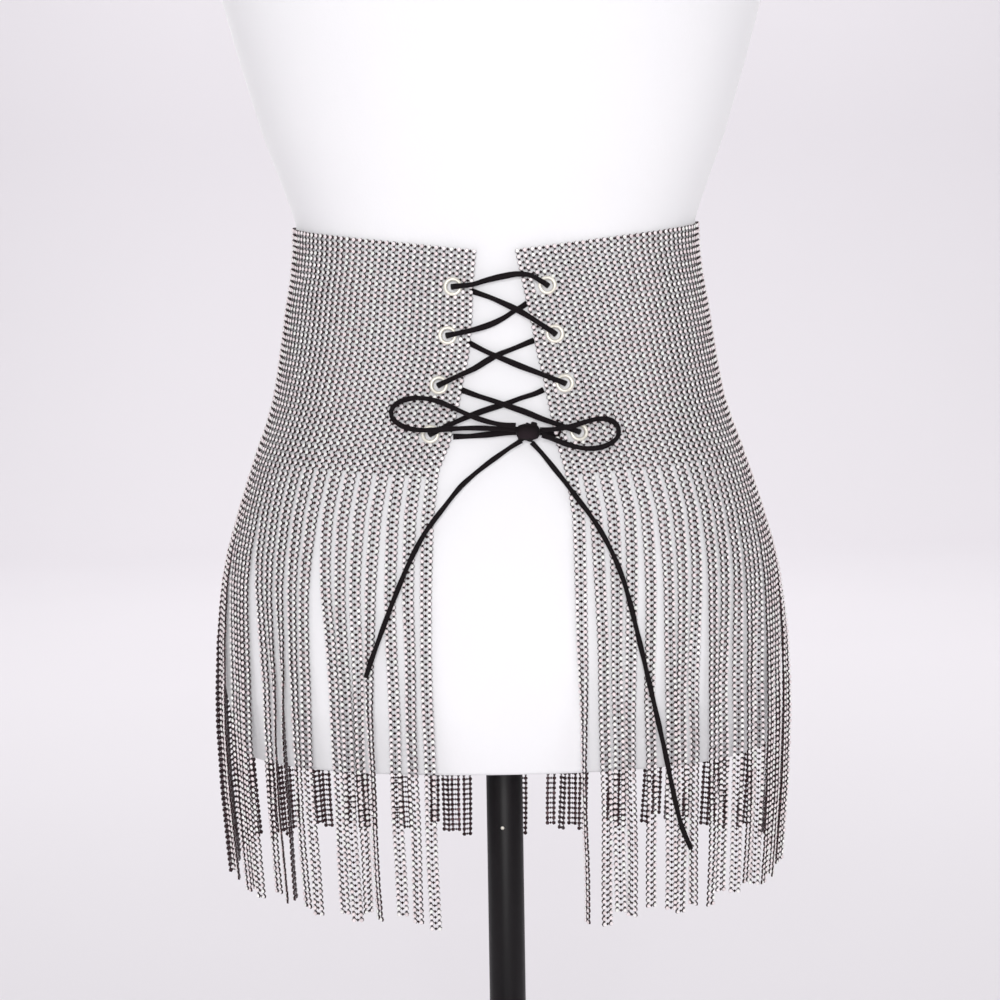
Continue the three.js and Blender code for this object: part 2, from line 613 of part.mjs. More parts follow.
// The fringe in four parts: each a narrow strip below the band with its strands fused to it.
function addFringe() {
  const order = strandOrder();
  const each = STRANDS / FRINGE_PARTS.length;
  FRINGE_PARTS.forEach((part, index) => {
    const halfGap = SEAM_GAP / TYPICAL_ROUND / 2;
    const from = spread((index * each) / STRANDS, FRONT_SPREAD, SIDE_SPREAD) + halfGap;
    const to = spread(((index + 1) * each) / STRANDS, FRONT_SPREAD, SIDE_SPREAD) - halfGap;
    const grid = (depth) =>
      [SEAM_GAP, SEAM_GAP + STRIP_HEIGHT].map((below) =>
        Array.from({ length: STRIP_COLUMNS + 1 }, (_, column) => {
          const place = clothPlace(lerp(from, to, column / STRIP_COLUMNS), 1);
          return clothPoint({ ...place, z: place.z - below }, depth);
        }),
      );
    let fringe = toSolid(wallGeometry(grid(CLOTH_THICKNESS), grid(0)));
    for (let number = index * each; number < (index + 1) * each; number += 1) {
      fringe = fringe.add(toSolid(strandGeometry(number, order[number])));
    }
    addPiece(`fringe_${part}`, fromSolid(fringe), crystalMesh);
  });
}

// A point of the lace's route in front of the form, or in front of the fringe lower down.
function routePoint([x, z, out]) {
  const rows = z < FIRST_TAIL_POINT_ON_FRINGE ? FALL_ROWS : FORM_ROWS;
  return liftedPoint(rows, z, shareAtX(rows, z, x), out);
}

// A flat cord along a route: eight-sided sections, wide across the route, flat to the body.
// A section stands at each point of the route, or evenly at a step's length where one is given.
function laceGeometry(route, stepLength) {
  const curve = new THREE.CatmullRomCurve3(route.map(routePoint), false, "centripetal");
  const steps = stepLength ? Math.round(curve.getLength() / stepLength) : route.length - 1;
  const front = new THREE.Vector3(0, -1, 0);
  const rings = [];
  for (let step = 0; step <= steps; step += 1) {
    const middle = stepLength ? curve.getPointAt(step / steps) : curve.getPoint(step / steps);
    const direction = stepLength ? curve.getTangentAt(step / steps) : curve.getTangent(step / steps);
    const across = new THREE.Vector3().crossVectors(front, direction).normalize();
    const out = new THREE.Vector3().crossVectors(direction, across).normalize();
    rings.push(
      Array.from({ length: LACE_SIDES }, (_, side) => {
        const angle = (2 * Math.PI * (side + 0.5)) / LACE_SIDES;
        const flat = Math.cos(Math.PI / LACE_SIDES);
        return middle
          .clone()
          .addScaledVector(across, ((LACE_WIDTH / 2) * Math.cos(angle)) / flat)
          .addScaledVector(out, ((LACE_THICKNESS / 2) * Math.sin(angle)) / flat);
      }),
    );
  }
  return loftGeometry(rings);
}

// The points with which a route leaves an eyelet's hole towards the route's first point.
function holePoints(eyeletName, towards) {
  const [side, name] = eyeletName.split("_");
  const eyelet = EYELETS.find((row) => row.name === name);
  const direction = new THREE.Vector2(towards[0] - eyelet[side], towards[1] - eyelet.z).normalize();
  return OUT_OF_HOLE.map(({ along, out }) => [
    eyelet[side] + along * direction.x,
    eyelet.z + along * direction.y,
    out,
  ]);
}

function addLacing() {
  for (const { name, from, points, to } of LACE_ROUTES) {
    const start = from ? holePoints(from, points[0]) : [];
    const end = to ? holePoints(to, points[points.length - 1]).reverse() : [];
    addPiece(name, laceGeometry([...start, ...points, ...end]), blackCord);
  }
  for (const [name, route] of Object.entries(BOW_ROUTES)) {
    addPiece(name, laceGeometry(route, name.includes("loop") ? undefined : TAIL_STEP), blackCord);
  }
  const knot = new THREE.SphereGeometry(1, KNOT.sides, KNOT.rings).scale(KNOT.halfWidth, KNOT.halfDepth, KNOT.halfHeight);
  addPiece("lace_knot", knot, blackCord).position.copy(routePoint([KNOT.x, KNOT.z, KNOT.out]));
}

addStand();
addForm();
addBand();
addFringe();
addEyelets();
addLacing();

export default belt;
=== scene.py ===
# %% [markdown]
# # A rhinestone mesh corset belt with a fringe, on a limbless dress form
#
# The belt is a net of small glass stones in metal cups. It closes at the front with a flat black
# lace through eight eyelets, and below the hips the net is slit into strands two stones wide.
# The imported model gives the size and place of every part. Each cell makes one thing and prints
# what it made. Tables are in millimetres, as on a pattern, and Blender's objects are in metres.

import math

import bmesh
import bpy
import numpy as np
from mathutils import Matrix, Vector


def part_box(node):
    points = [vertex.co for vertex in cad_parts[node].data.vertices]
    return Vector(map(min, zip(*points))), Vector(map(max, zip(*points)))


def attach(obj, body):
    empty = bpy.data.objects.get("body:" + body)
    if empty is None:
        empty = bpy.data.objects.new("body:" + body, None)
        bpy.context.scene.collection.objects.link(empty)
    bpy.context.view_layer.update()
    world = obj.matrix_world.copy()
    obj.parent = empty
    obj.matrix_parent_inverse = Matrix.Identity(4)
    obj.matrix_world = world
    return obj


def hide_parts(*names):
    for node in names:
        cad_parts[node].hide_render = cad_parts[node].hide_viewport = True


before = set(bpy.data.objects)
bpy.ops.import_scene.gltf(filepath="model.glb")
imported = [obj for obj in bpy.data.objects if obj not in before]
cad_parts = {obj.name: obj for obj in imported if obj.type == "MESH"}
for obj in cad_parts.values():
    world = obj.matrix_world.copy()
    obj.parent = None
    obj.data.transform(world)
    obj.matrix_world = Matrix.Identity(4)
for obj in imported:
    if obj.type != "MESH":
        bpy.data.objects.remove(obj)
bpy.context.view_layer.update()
MM = 0.001
BODY = "root"
# About how many millimetres the band and the fringe measure round the form.
BAND_ROUND = 750
FALL_ROUND = 900

# %% [markdown]
# ## The camera
#
# The picture is taken from a little over the waist, from the front, with a long lens. The camera
# looks slightly down and leans by less than a degree. A camera can be turned by Euler angles, but
# a tilt followed by a lean about its own axis is easier to read as a product of two turns.

# %% Camera
CAMERA_PLACE = (0.0, -1.25, 0.546)
CAMERA_TILT = 85.0
CAMERA_LEAN = -0.9
CAMERA_LENS = 79.06


def add_camera():
    tilt = Matrix.Rotation(math.radians(CAMERA_TILT), 3, "X")
    lean = Matrix.Rotation(math.radians(CAMERA_LEAN), 3, "Z")
    bpy.ops.object.camera_add(location=CAMERA_PLACE, rotation=(tilt @ lean).to_euler())
    camera = bpy.context.object
    camera.name = "front_camera"
    camera.data.lens = CAMERA_LENS
    bpy.context.scene.camera = camera
    print("camera at", tuple(camera.location), "lens", camera.data.lens)


add_camera()

# %% [markdown]
# ## The surfaces that everything lies on
#
# The form is a stack of level ovals, and the fringe hangs on a second, slightly wider stack. A
# place on either is a height and a share of the way round, measured from the front centre towards
# the right. All of the cloth, the eyelets and the lace are placed this way, so they stay on what
# carries them from any side. The ovals are worked out once, a millimetre apart in height, and
# read with straight interpolation between them.

# %% Tables of the form and of the fringe
# Height, half width, half depth, shift forward, and the power of the oval.
FORM_ROWS = [
    (300, 152, 108, 0, 2.3),
    (336, 158.5, 114.5, 0, 2.3),
    (361, 159, 115.5, 0, 2.3),
    (381, 157.5, 114.5, 0, 2.3),
    (398, 155.5, 113, 0, 2.3),
    (413, 152.5, 111, 0, 2.3),
    (437, 145.5, 106.5, 0, 2.3),
    (451, 141, 103.5, 0, 2.3),
    (467, 135.5, 100, 0, 2.3),
    (480, 130.5, 97, 0, 2.3),
    (496, 125.5, 93.5, 0, 2.3),
    (511, 122.7, 91.5, 0, 2.3),
    (528, 120, 89.8, 0, 2.3),
    (547, 117.2, 88, 0, 2.3),
    (565, 114, 86, 0, 2.3),
    (580, 112.5, 85.2, 0, 2.3),
    (594, 112.2, 85, 0, 2.3),
    (606, 116, 87, 0, 2.3),
    (642, 129, 94, 1, 2.3),
    (680, 140, 101, 3, 2.3),
    (718, 150, 109, 6, 2.3),
    (756, 158, 114.5, 8, 2.3),
    (800, 163, 113.5, 6, 2.3),
    (836, 162, 106, 2, 2.3),
    (866, 154, 96, -1, 2.3),
    (892, 138, 85, -4, 2.25),
    (913, 112, 75, -5, 2.2),
    (930, 86, 66, -5, 2.15),
    (944, 67, 59, -4, 2.1),
    (962, 57, 53, -2, 2),
    (998, 53, 51, 2, 2),
    (1008, 49, 47, 2, 2),
    (1012, 40, 38, 2, 2),
]
FALL_ROWS = [
    (205, 155, 114.2, 0, 2.3),
    (223, 156.1, 115, 0, 2.3),
    (245, 158.1, 116, 0, 2.3),
    (278, 160.7, 117, 0, 2.3),
    (316, 162.1, 118, 0, 2.3),
    (336, 162.1, 118.2, 0, 2.3),
    (361, 161.3, 117.8, 0, 2.3),
    (381, 159.5, 116.5, 0, 2.3),
    (398, 157.4, 114.9, 0, 2.3),
    (413, 154.3, 112.8, 0, 2.3),
    (437, 147.2, 108.2, 0, 2.3),
    (451, 142.6, 105.1, 0, 2.3),
    (480, 132, 98.5, 0, 2.3),
]
ARC_STEPS = 720


def make_surface(rows):
    """Level ovals a millimetre apart: points at even shares of the way round, and lengths round."""
    table = np.array(rows, float)
    levels = np.arange(table[0, 0], table[-1, 0] + 1)
    angles = np.linspace(0, 2 * np.pi, ARC_STEPS + 1)
    shares = np.linspace(0, 1, ARC_STEPS + 1)
    side, front = np.sin(angles), np.cos(angles)
    grid, lengths = [], []
    for level in levels:
        width, depth, forward, power = (np.interp(level, table[:, 0], table[:, k]) for k in (1, 2, 3, 4))
        x = width * np.sign(side) * np.abs(side) ** (2 / power)
        y = -depth * np.sign(front) * np.abs(front) ** (2 / power) - forward
        along = np.concatenate([[0], np.cumsum(np.hypot(np.diff(x), np.diff(y)))])
        lengths.append(along[-1])
        along /= along[-1]
        grid.append(np.stack([np.interp(shares, along, x), np.interp(shares, along, y)], 1))
    return {"levels": levels, "grid": np.array(grid), "lengths": np.array(lengths)}


def level_point(surface, z, share):
    """Points on a surface at heights and shares, as an array of rows."""
    z, share = np.broadcast_arrays(np.asarray(z, float), np.asarray(share, float))
    row = np.clip(z - surface["levels"][0], 0, len(surface["levels"]) - 1.001)
    column = (share % 1) * ARC_STEPS
    low, left = row.astype(int), np.minimum(column.astype(int), ARC_STEPS - 1)
    up, right = (row - low)[..., None], (column - left)[..., None]
    grid = surface["grid"]
    below = grid[low, left] * (1 - right) + grid[low, left + 1] * right
    above = grid[low + 1, left] * (1 - right) + grid[low + 1, left + 1] * right
    flat = below * (1 - up) + above * up
    return np.concatenate([flat, z[..., None]], -1)


def unit(vectors):
    return vectors / np.linalg.norm(vectors, axis=-1, keepdims=True)


def length_round(surface, z):
    return np.interp(z, surface["levels"], surface["lengths"])


def lifted_point(surface, z, share, lift):
    """A point moved straight out of its level oval."""
    step = 0.6 / ARC_STEPS
    share = np.asarray(share, float)
    sideways = unit(level_point(surface, z, share + step) - level_point(surface, z, share - step))
    outward = np.stack([sideways[..., 1], -sideways[..., 0], 0 * sideways[..., 0]], -1)
    return level_point(surface, z, share) + outward * np.asarray(lift, float)[..., None]


def share_at_x(surface, z, x):
    """The share at which a level oval reaches an x on the front, negative to the left."""
    shares = np.linspace(0, 0.25, ARC_STEPS // 4 + 1)
    across = level_point(surface, z, shares)[:, 0]
    return math.copysign(float(np.interp(abs(x), across, shares)), x)


FORM = make_surface(FORM_ROWS)
FALL = make_surface(FALL_ROWS)
girths = (length_round(FORM, 590), length_round(FORM, 361))
print("round the waist %.0f mm, round the hips %.0f mm" % girths)

# %% [markdown]
# ## Where the lace runs
#
# The lace leaves its eyelets, crosses the front and ends in a bow with two hanging tails. Its
# route is a list of given points: x, height and the distance out from the form, or from the
# fringe lower down. A smooth line through them carries a flat woven section. The two loops
# and the two tails are free cords, and the length of each is printed.

# %% Routes of the lace
BEHIND = 1.2
OUT_OF_HOLE = [(-0.6, 3.4), (0.7, 5.5), (2.6, 7), (5.8, 7)]
FRINGE_TOP = 452
EYELETS = {
    "1": {"z": 557.5, "left": -22.7, "right": 26.2},
    "2": {"z": 532, "left": -25.8, "right": 29.7},
    "3": {"z": 506, "left": -30.7, "right": 34.4},
    "4": {"z": 480.5, "left": -35.5, "right": 41.3},
}
LACE_ROUTES = {
    "top_bar": (
        "left_1",
        [(-13, 558.3, 6.6), (-5, 560.6, 5.8), (3, 562.4, 5.6), (11.5, 563.6, 5.8), (18, 562.6, 6.7)],
        "right_1",
    ),
    "cross_1_over": (
        None,
        [(-19, 556.9, BEHIND), (-13.5, 555.2, BEHIND), (-8.5, 553.4, 2.2), (-3.6, 551.6, 3.8),
         (4.2, 548, 4.9), (10.5, 544.8, 5.6), (17, 540.8, 6.3)],
        "right_2",
    ),
    "cross_1_under": (
        "left_2",
        [(-15, 534.1, 5.8), (-8, 535.9, 4.4), (-2, 538, 2.9), (4, 541, 2.1), (9, 544.2, 1.5),
         (14, 547, BEHIND), (19.5, 551, BEHIND)],
        None,
    ),
    "cross_2_over": (
        None,
        [(-21, 530.4, BEHIND), (-14.5, 527.6, BEHIND), (-8, 524.2, 2.7), (-1.4, 521.1, 4.6),
         (5, 518.3, 5), (11.6, 515.4, 5.6), (20, 512, 6.4)],
        "right_3",
    ),
    "cross_2_under": (
        "left_3",
        [(-20, 511, 5.8), (-12, 514.6, 4.5), (-5, 518.8, 2.8), (1, 521.8, 2.2), (8, 524.4, 1.6),
         (17, 527.9, BEHIND), (23, 530.2, BEHIND)],
        None,
    ),
    "cross_3_over": (
        None,
        [(-25, 505.6, BEHIND), (-18, 502.8, BEHIND), (-11, 500.2, 2.4), (-3, 497.6, 4.3), (4, 495, 4.9),
         (13.8, 491.4, 5.6), (21.6, 488, 6), (29, 485.2, 6.6)],
        "right_4",
    ),
    "cross_3_under": (
        "left_4",
        [(-24, 486, 6.4), (-15, 489.8, 5), (-5, 493.2, 2.9), (3, 495.4, 2.1), (12, 498.6, 1.6),
         (20, 501, BEHIND), (27.5, 504.6, BEHIND)],
        None,
    ),
    "end_left": (
        None,
        [(-30, 479, BEHIND), (-22, 479, BEHIND), (-15, 479.2, 2.2), (-8, 479.8, 3.6), (-1, 480.4, 5),
         (5, 480.8, 6.4), (9.4, 481, 7.2)],
        None,
    ),
    "end_right": (
        None,
        [(36, 479.4, BEHIND), (32, 479.2, BEHIND), (28, 479.4, BEHIND), (25.4, 479.8, 2),
         (23, 480.4, 3.8), (20.8, 480.8, 5.8)],
        None,
    ),
}
BOW_ROUTES = {
    "bow_loop_left": [
        (9.4, 482.8, 9.8), (2, 483.2, 10.2), (-7, 483.6, 10.2), (-16, 483.8, 10.2),
        (-26, 483.4, 10.4), (-35, 483, 10.6), (-42.5, 483.4, 11), (-49, 485.8, 11.6),
        (-53, 490.2, 12.2), (-52.4, 494.8, 12.8), (-48, 498.2, 13.2), (-42, 499.7, 13.4),
        (-34.5, 499.2, 13.4), (-27.5, 496.9, 13.4), (-20, 493.2, 13.2), (-12.5, 489.6, 12.9),
        (-4.5, 486.8, 12.6), (2.5, 485.4, 12.4), (8.6, 484.9, 12.1),
    ],
    "bow_loop_right": [
        (20.8, 482.2, 9), (26.5, 482.4, 9.8), (32.5, 483, 10.4), (38.5, 484.4, 10.9),
        (44.5, 486.3, 11.2), (50.3, 487.4, 11.6), (55.8, 486.4, 12), (59, 482.6, 12.4),
        (58.6, 478, 12.8), (55, 474.6, 13), (49.5, 472.6, 13), (43.5, 472.3, 12.9),
        (37.5, 473.5, 12.8), (31.5, 475.6, 12.5), (26.4, 477.8, 12), (21.6, 479.4, 11.2),
    ],
    "lace_tail_left": [
        (11.4, 476.8, 8), (6.2, 473.6, 6.6), (0.4, 469.6, 5.2), (-5, 465.8, 4.4), (-10.2, 461.9, 4),
        (-15, 458, 4), (-19.7, 453.8, 4.2), (-24, 449, 4.6), (-28.4, 443.4, 5.2), (-33.5, 437, 5),
        (-38.8, 429.8, 4.2), (-43.4, 422, 3.6), (-48.2, 412.6, 3.2), (-52.6, 402.6, 3), (-56.6, 393, 3),
        (-60.4, 383.2, 3), (-64.2, 373.2, 3), (-67.8, 363.6, 3), (-71, 354.2, 3),
    ],
    "lace_tail_right": [
        (16.6, 475.8, 8), (21.3, 470.6, 6.6), (27, 463.4, 5), (33, 455.6, 4.4), (38.9, 447.6, 4),
        (45, 439.4, 3.6), (50.6, 431, 3.3), (55.2, 422.6, 3.1), (59.4, 413.4, 3), (63.2, 403, 3),
        (66.3, 391.6, 3), (69.1, 379.6, 3), (72, 366.6, 3), (75, 353, 3), (78, 339.2, 3), (81, 325.2, 3),
        (84, 311, 3), (86.7, 297, 3), (89.4, 283.2, 3), (92.6, 270.2, 3), (97.5, 257.2, 3),
    ],
}
print("lace routes:", len(LACE_ROUTES) + len(BOW_ROUTES))


# %% From a route to a smooth line
def route_point(point):
    x, z, out = point
    surface = FALL if z < FRINGE_TOP else FORM
    return lifted_point(surface, z, share_at_x(surface, z, x), out)


def hole_points(eyelet_name, towards):
    """The points with which the lace comes out of an eyelet's hole towards a point."""
    side, number = eyelet_name.split("_")
    x, z = EYELETS[number][side], EYELETS[number]["z"]
    direction = unit(np.array([towards[0] - x, towards[1] - z]))
    return [(x + along * direction[0], z + along * direction[1], out) for along, out in OUT_OF_HOLE]


def smooth_line(points, step):
    """A centripetal spline through points, as points about a step apart."""
    points = np.array(points)
    points = np.vstack([2 * points[0] - points[1], points, 2 * points[-1] - points[-2]])
    line = []
    for before, start, end, after in zip(points, points[1:], points[2:], points[3:]):
        gaps = [np.linalg.norm(b - a) ** 0.5 for a, b in ((before, start), (start, end), (end, after))]
        speed = (end - start) / gaps[1]
        leave = (start - before) / gaps[0] - (end - before) / (gaps[0] + gaps[1]) + speed
        arrive = speed - (after - start) / (gaps[1] + gaps[2]) + (after - end) / gaps[2]
        count = max(1, round(np.linalg.norm(end - start) / step))
        for t in np.arange(count) / count:
            line.append(
                (2 * t**3 - 3 * t**2 + 1) * start
                + (t**3 - 2 * t**2 + t) * leave * gaps[1]
                + (3 * t**2 - 2 * t**3) * end
                + (t**3 - t**2) * arrive * gaps[1]
            )
    line.append(points[-2])
    return np.array(line)


# %% The woven section, swept along a line
LACE_WIDTH = 3.4
LACE_THICKNESS = 1.4
LACE_SIDES = 16
LACE_STEP = 2.0
LACE_ROUNDING = 0.75
LACE_MAP_ROUND = 8.0


def new_object(name, mesh):
    made = bpy.data.objects.new(name, mesh)
    bpy.context.scene.collection.objects.link(made)
    return made


def lace_mesh(name, line, width=1.0, narrowing=0.16, wave=21.0):
    """A flat cord round a line in millimetres, with a UV map in millimetres for its weave.

    It narrows and thickens in slow waves, as a soft lace does where it curls and twists."""
    line = np.array(line)
    run = np.concatenate([[0], np.cumsum(np.linalg.norm(np.diff(line, axis=0), axis=1))])
    curl = 0.5 - 0.5 * np.cos(2 * np.pi * (run / wave + 0.13))
    direction = unit(np.gradient(line, axis=0))
    across = unit(np.cross(np.array([0, -1, 0]), direction))
    out = unit(np.cross(direction, across))
    angle = 2 * np.pi * (np.arange(LACE_SIDES) + 0.5) / LACE_SIDES
    wide = LACE_WIDTH / 2 * np.sign(np.cos(angle)) * np.abs(np.cos(angle)) ** LACE_ROUNDING
    thick = LACE_THICKNESS / 2 * np.sign(np.sin(angle)) * np.abs(np.sin(angle)) ** LACE_ROUNDING
    wide = wide * width * (1 - narrowing * curl)[:, None]
    thick = thick * (1 + narrowing * curl)[:, None]
    rings = line[:, None] + across[:, None] * wide[..., None] + out[:, None] * thick[..., None]
    vertices = rings.reshape(-1, 3) * MM
    sides, count = LACE_SIDES, len(line)
    faces = [
        (
            k * sides + s,
            k * sides + (s + 1) % sides,
            (k + 1) * sides + (s + 1) % sides,
            (k + 1) * sides + s,
        )
        for k in range(count - 1)
        for s in range(sides)
    ]
    faces.append(tuple(reversed(range(sides))))
    faces.append(tuple(range((count - 1) * sides, count * sides)))
    mesh = bpy.data.meshes.new(name)
    mesh.from_pydata(vertices.tolist(), [], faces)
    mesh.validate()
    weave = mesh.uv_layers.new(name="weave")
    for polygon in mesh.polygons:
        closing = len(polygon.vertices) == 4 and polygon.index % sides == sides - 1
        first = min(mesh.loops[i].vertex_index for i in polygon.loop_indices)
        for i in polygon.loop_indices:
            ring, side = divmod(mesh.loops[i].vertex_index, sides)
            if side == 0 and closing and first % sides == 0:
                side = sides
            weave.data[i].uv = (side / sides * LACE_MAP_ROUND, run[ring])
    mesh.shade_smooth()
    return mesh, run[-1]


# %% The loops and tails of the bow
BOW_WIDTH = 0.86
LACING_NARROWING = 0.22
LACING_WAVES = 1.5
bow_cords = {}
for name, route in BOW_ROUTES.items():
    line = smooth_line([route_point(point) for point in route], LACE_STEP)
    mesh, length = lace_mesh(name + "_cord", line, width=BOW_WIDTH)
    cord = new_object(name + "_cord", mesh)
    bow_cords[name] = cord
    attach(cord, BODY)
    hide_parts(name)
    print(name, "is %.0f mm long" % length)

# %% The lacing between the eyelets
# A stretch that runs on behind the cloth ends some steps earlier, just inside the edge.
TUCKED_STEPS = {"left": 3, "right": 2}
lacing = []
for name, (start, points, end) in LACE_ROUTES.items():
    first = hole_points(start, points[0]) if start else []
    last = hole_points(end, points[-1])[::-1] if end else []
    line = smooth_line([route_point(point) for point in [*first, *points, *last]], LACE_STEP)
    if points[0][2] == BEHIND:
        line = line[TUCKED_STEPS["left" if points[0][0] < 0 else "right"] :]
    if points[-1][2] == BEHIND:
        line = line[: -TUCKED_STEPS["right"]]
    wave = float(np.ptp(line[:, 0]) / LACING_WAVES)
    mesh, length = lace_mesh("lacing_" + name, line, narrowing=LACING_NARROWING, wave=wave)
    stretch = new_object("lacing_" + name, mesh)
    lacing.append(stretch)
    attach(stretch, BODY)
    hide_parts("lace_" + name)
    print("lacing", name, "%.0f mm" % length)

# %% [markdown]
# ## The knot
#
# The knot is a small tight lump where the two ends cross. A ball would look like a bead, so a
# cube is subdivided, pressed towards a sphere and flattened, and two short turns of the same
# lace are swept over its front.

# %% Knot
KNOT = {"x": 14.8, "z": 481.2, "out": 8.6}
KNOT_HALF = (5.3, 3.4, 3.7)
# The lean, the place across and the reach up and down of each turn of lace over the knot.
KNOT_TURNS = ((0.55, -1.7, 3.9), (0.3, 2.0, 4.5))
KNOT_TURN_HALF = 0.62 * np.pi
KNOT_TURN_POINTS = 15
KNOT_TURN_BACK = 0.6
KNOT_TURN_NARROWING = 0.05


def deselect_all():
    if bpy.context.mode != "OBJECT":
        bpy.ops.object.mode_set(mode="OBJECT")
    bpy.ops.object.select_all(action="DESELECT")


def only(piece):
    deselect_all()
    piece.select_set(True)
    bpy.context.view_layer.objects.active = piece


def apply_place(piece):
    only(piece)
    bpy.ops.object.transform_apply(location=True, rotation=True, scale=True)


def add_knot():
    centre = route_point((KNOT["x"], KNOT["z"], KNOT["out"]))
    deselect_all()
    bpy.ops.mesh.primitive_cube_add(size=2, location=tuple(centre * MM))
    knot = bpy.context.object
    knot.name = "bow_knot"
    bpy.ops.object.mode_set(mode="EDIT")
    bpy.ops.mesh.select_all(action="SELECT")
    bpy.ops.mesh.subdivide(number_cuts=5)
    bpy.ops.transform.tosphere(value=0.75)
    half = tuple(size * MM for size in KNOT_HALF)
    bpy.ops.transform.resize(value=half, center_override=tuple(centre * MM))
    bpy.ops.object.mode_set(mode="OBJECT")
    apply_place(knot)
    turns = []
    for lean, shift, reach in KNOT_TURNS:
        angle = np.linspace(-KNOT_TURN_HALF, KNOT_TURN_HALF, KNOT_TURN_POINTS)
        high = reach * np.sin(angle)
        back = KNOT_TURN_BACK - KNOT_HALF[1] * np.cos(angle)
        line = centre + np.stack([shift + lean * high, back, high], 1)
        mesh, length = lace_mesh("knot_turn", line, narrowing=KNOT_TURN_NARROWING)
        turns.append(new_object("knot_turn", mesh))
    only(knot)
    knot.data.uv_layers[0].name = "weave"
    for turn in turns:
        turn.select_set(True)
    bpy.ops.object.join()
    knot.data.shade_smooth()
    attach(knot, BODY)
    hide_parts("lace_knot")
    print("knot:", len(knot.data.polygons), "faces")
    return knot


knot = add_knot()

# %% [markdown]
# ## The dress form
#
# The form is a smooth white body without head, arms or legs. It could be sculpted, but its level
# ovals are known, so one circle is extruded upwards ring by ring, and each new ring takes its
# oval. Both ends are filled, the rims get a small bevel, and the rest is shaded smooth.

# %% Form
FORM_SIDES = 64
RIM_BEVEL = 2.0


def bevel_edges(piece, width, segments, angle=40, smooth=35):
    only(piece)
    bevel = piece.modifiers.new("edges", "BEVEL")
    bevel.width = width * MM
    bevel.segments = segments
    bevel.limit_method = "ANGLE"
    bevel.angle_limit = math.radians(angle)
    bpy.ops.object.modifier_apply(modifier=bevel.name)
    bpy.ops.object.shade_smooth_by_angle(angle=math.radians(smooth))


def shape_ring(vertices, z):
    points = level_point(FORM, z, np.arange(FORM_SIDES) / FORM_SIDES) * MM
    for vertex, point in zip(vertices, points):
        vertex.co = point


def add_form():
    heights = [row[0] for row in FORM_ROWS]
    deselect_all()
    bpy.ops.mesh.primitive_circle_add(vertices=FORM_SIDES, radius=0.15, location=(0, 0, 0))
    form = bpy.context.object
    form.name = "form_body"
    bpy.ops.object.mode_set(mode="EDIT")
    for step, z in enumerate(heights):
        if step > 0:
            rise = (0, 0, (z - heights[step - 1]) * MM)
            bpy.ops.mesh.extrude_edges_move(TRANSFORM_OT_translate={"value": rise})
        mesh = bmesh.from_edit_mesh(form.data)
        mesh.verts.ensure_lookup_table()
        shape_ring(mesh.verts[-FORM_SIDES:], z)
        bmesh.update_edit_mesh(form.data)
    bpy.ops.mesh.select_mode(type="EDGE")
    bpy.ops.mesh.select_all(action="SELECT")
    bpy.ops.mesh.region_to_loop()
    bpy.ops.mesh.fill_holes(sides=0)
    bpy.ops.mesh.select_all(action="SELECT")
    bpy.ops.mesh.fill_holes(sides=0)
    bpy.ops.mesh.normals_make_consistent(inside=False)
    bpy.ops.object.mode_set(mode="OBJECT")
    bevel_edges(form, RIM_BEVEL, 3, angle=60, smooth=40)
    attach(form, BODY)
    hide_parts("dress_form")
    print("form:", len(form.data.polygons), "faces, box", [round(v, 3) for v in form.dimensions])
    return form


form = add_form()

# %% [markdown]
# ## The pole and the base
#
# Both are turned metal parts. A cylinder is the start of each. The pole gets a small locking
# pin, and the base gets a rounded edge and a low step in its top, so that the light finds an
# edge there.

# %% Pole and base
POLE_RADIUS = 10.5
POLE_SIDES = 48
PIN_PLACE = (-1.5, 248.5)
PIN_RADIUS = 1.0
BASE_RADIUS = 150.0
BASE_HEIGHT = 12.0
BASE_SIDES = 128
BASE_GROOVE_IN = 6
BASE_GROOVE_DEEP = 0.6


def select_faces(piece, wanted):
    """In edit mode, selects the faces whose centre and normal a test accepts."""
    mesh = bmesh.from_edit_mesh(piece.data)
    for face in mesh.faces:
        face.select_set(bool(wanted(face.calc_center_median(), face.normal)))
    bmesh.update_edit_mesh(piece.data)


def add_cylinder(name, sides, radius, low, high):
    """An upright cylinder about the stand's axis, between two heights in metres."""
    deselect_all()
    bpy.ops.mesh.primitive_cylinder_add(
        vertices=sides, radius=radius * MM, depth=high - low, location=(0, 0, (low + high) / 2)
    )
    piece = bpy.context.object
    piece.name = name
    apply_place(piece)
    return piece


def add_pole():
    low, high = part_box("stand_pole")
    pole = add_cylinder("pole_tube", POLE_SIDES, POLE_RADIUS, low.z, high.z)
    bevel_edges(pole, 0.6, 2)
    bpy.ops.mesh.primitive_uv_sphere_add(segments=16, ring_count=8, radius=PIN_RADIUS * MM)
    pin = bpy.context.object
    pin.scale = (1, 0.5, 1)
    x, z = PIN_PLACE
    pin.location = (x * MM, -math.sqrt(POLE_RADIUS**2 - x**2) * MM, z * MM)
    apply_place(pin)
    pin.data.shade_smooth()
    pin.name = "pole_pin"
    for piece, slot in ((pole, "black_stand"), (pin, "eyelet_metal")):
        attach(piece, BODY)
    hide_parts("stand_pole")
    print("pole from", round(low.z, 4), "to", round(high.z, 4))
    return pole, pin


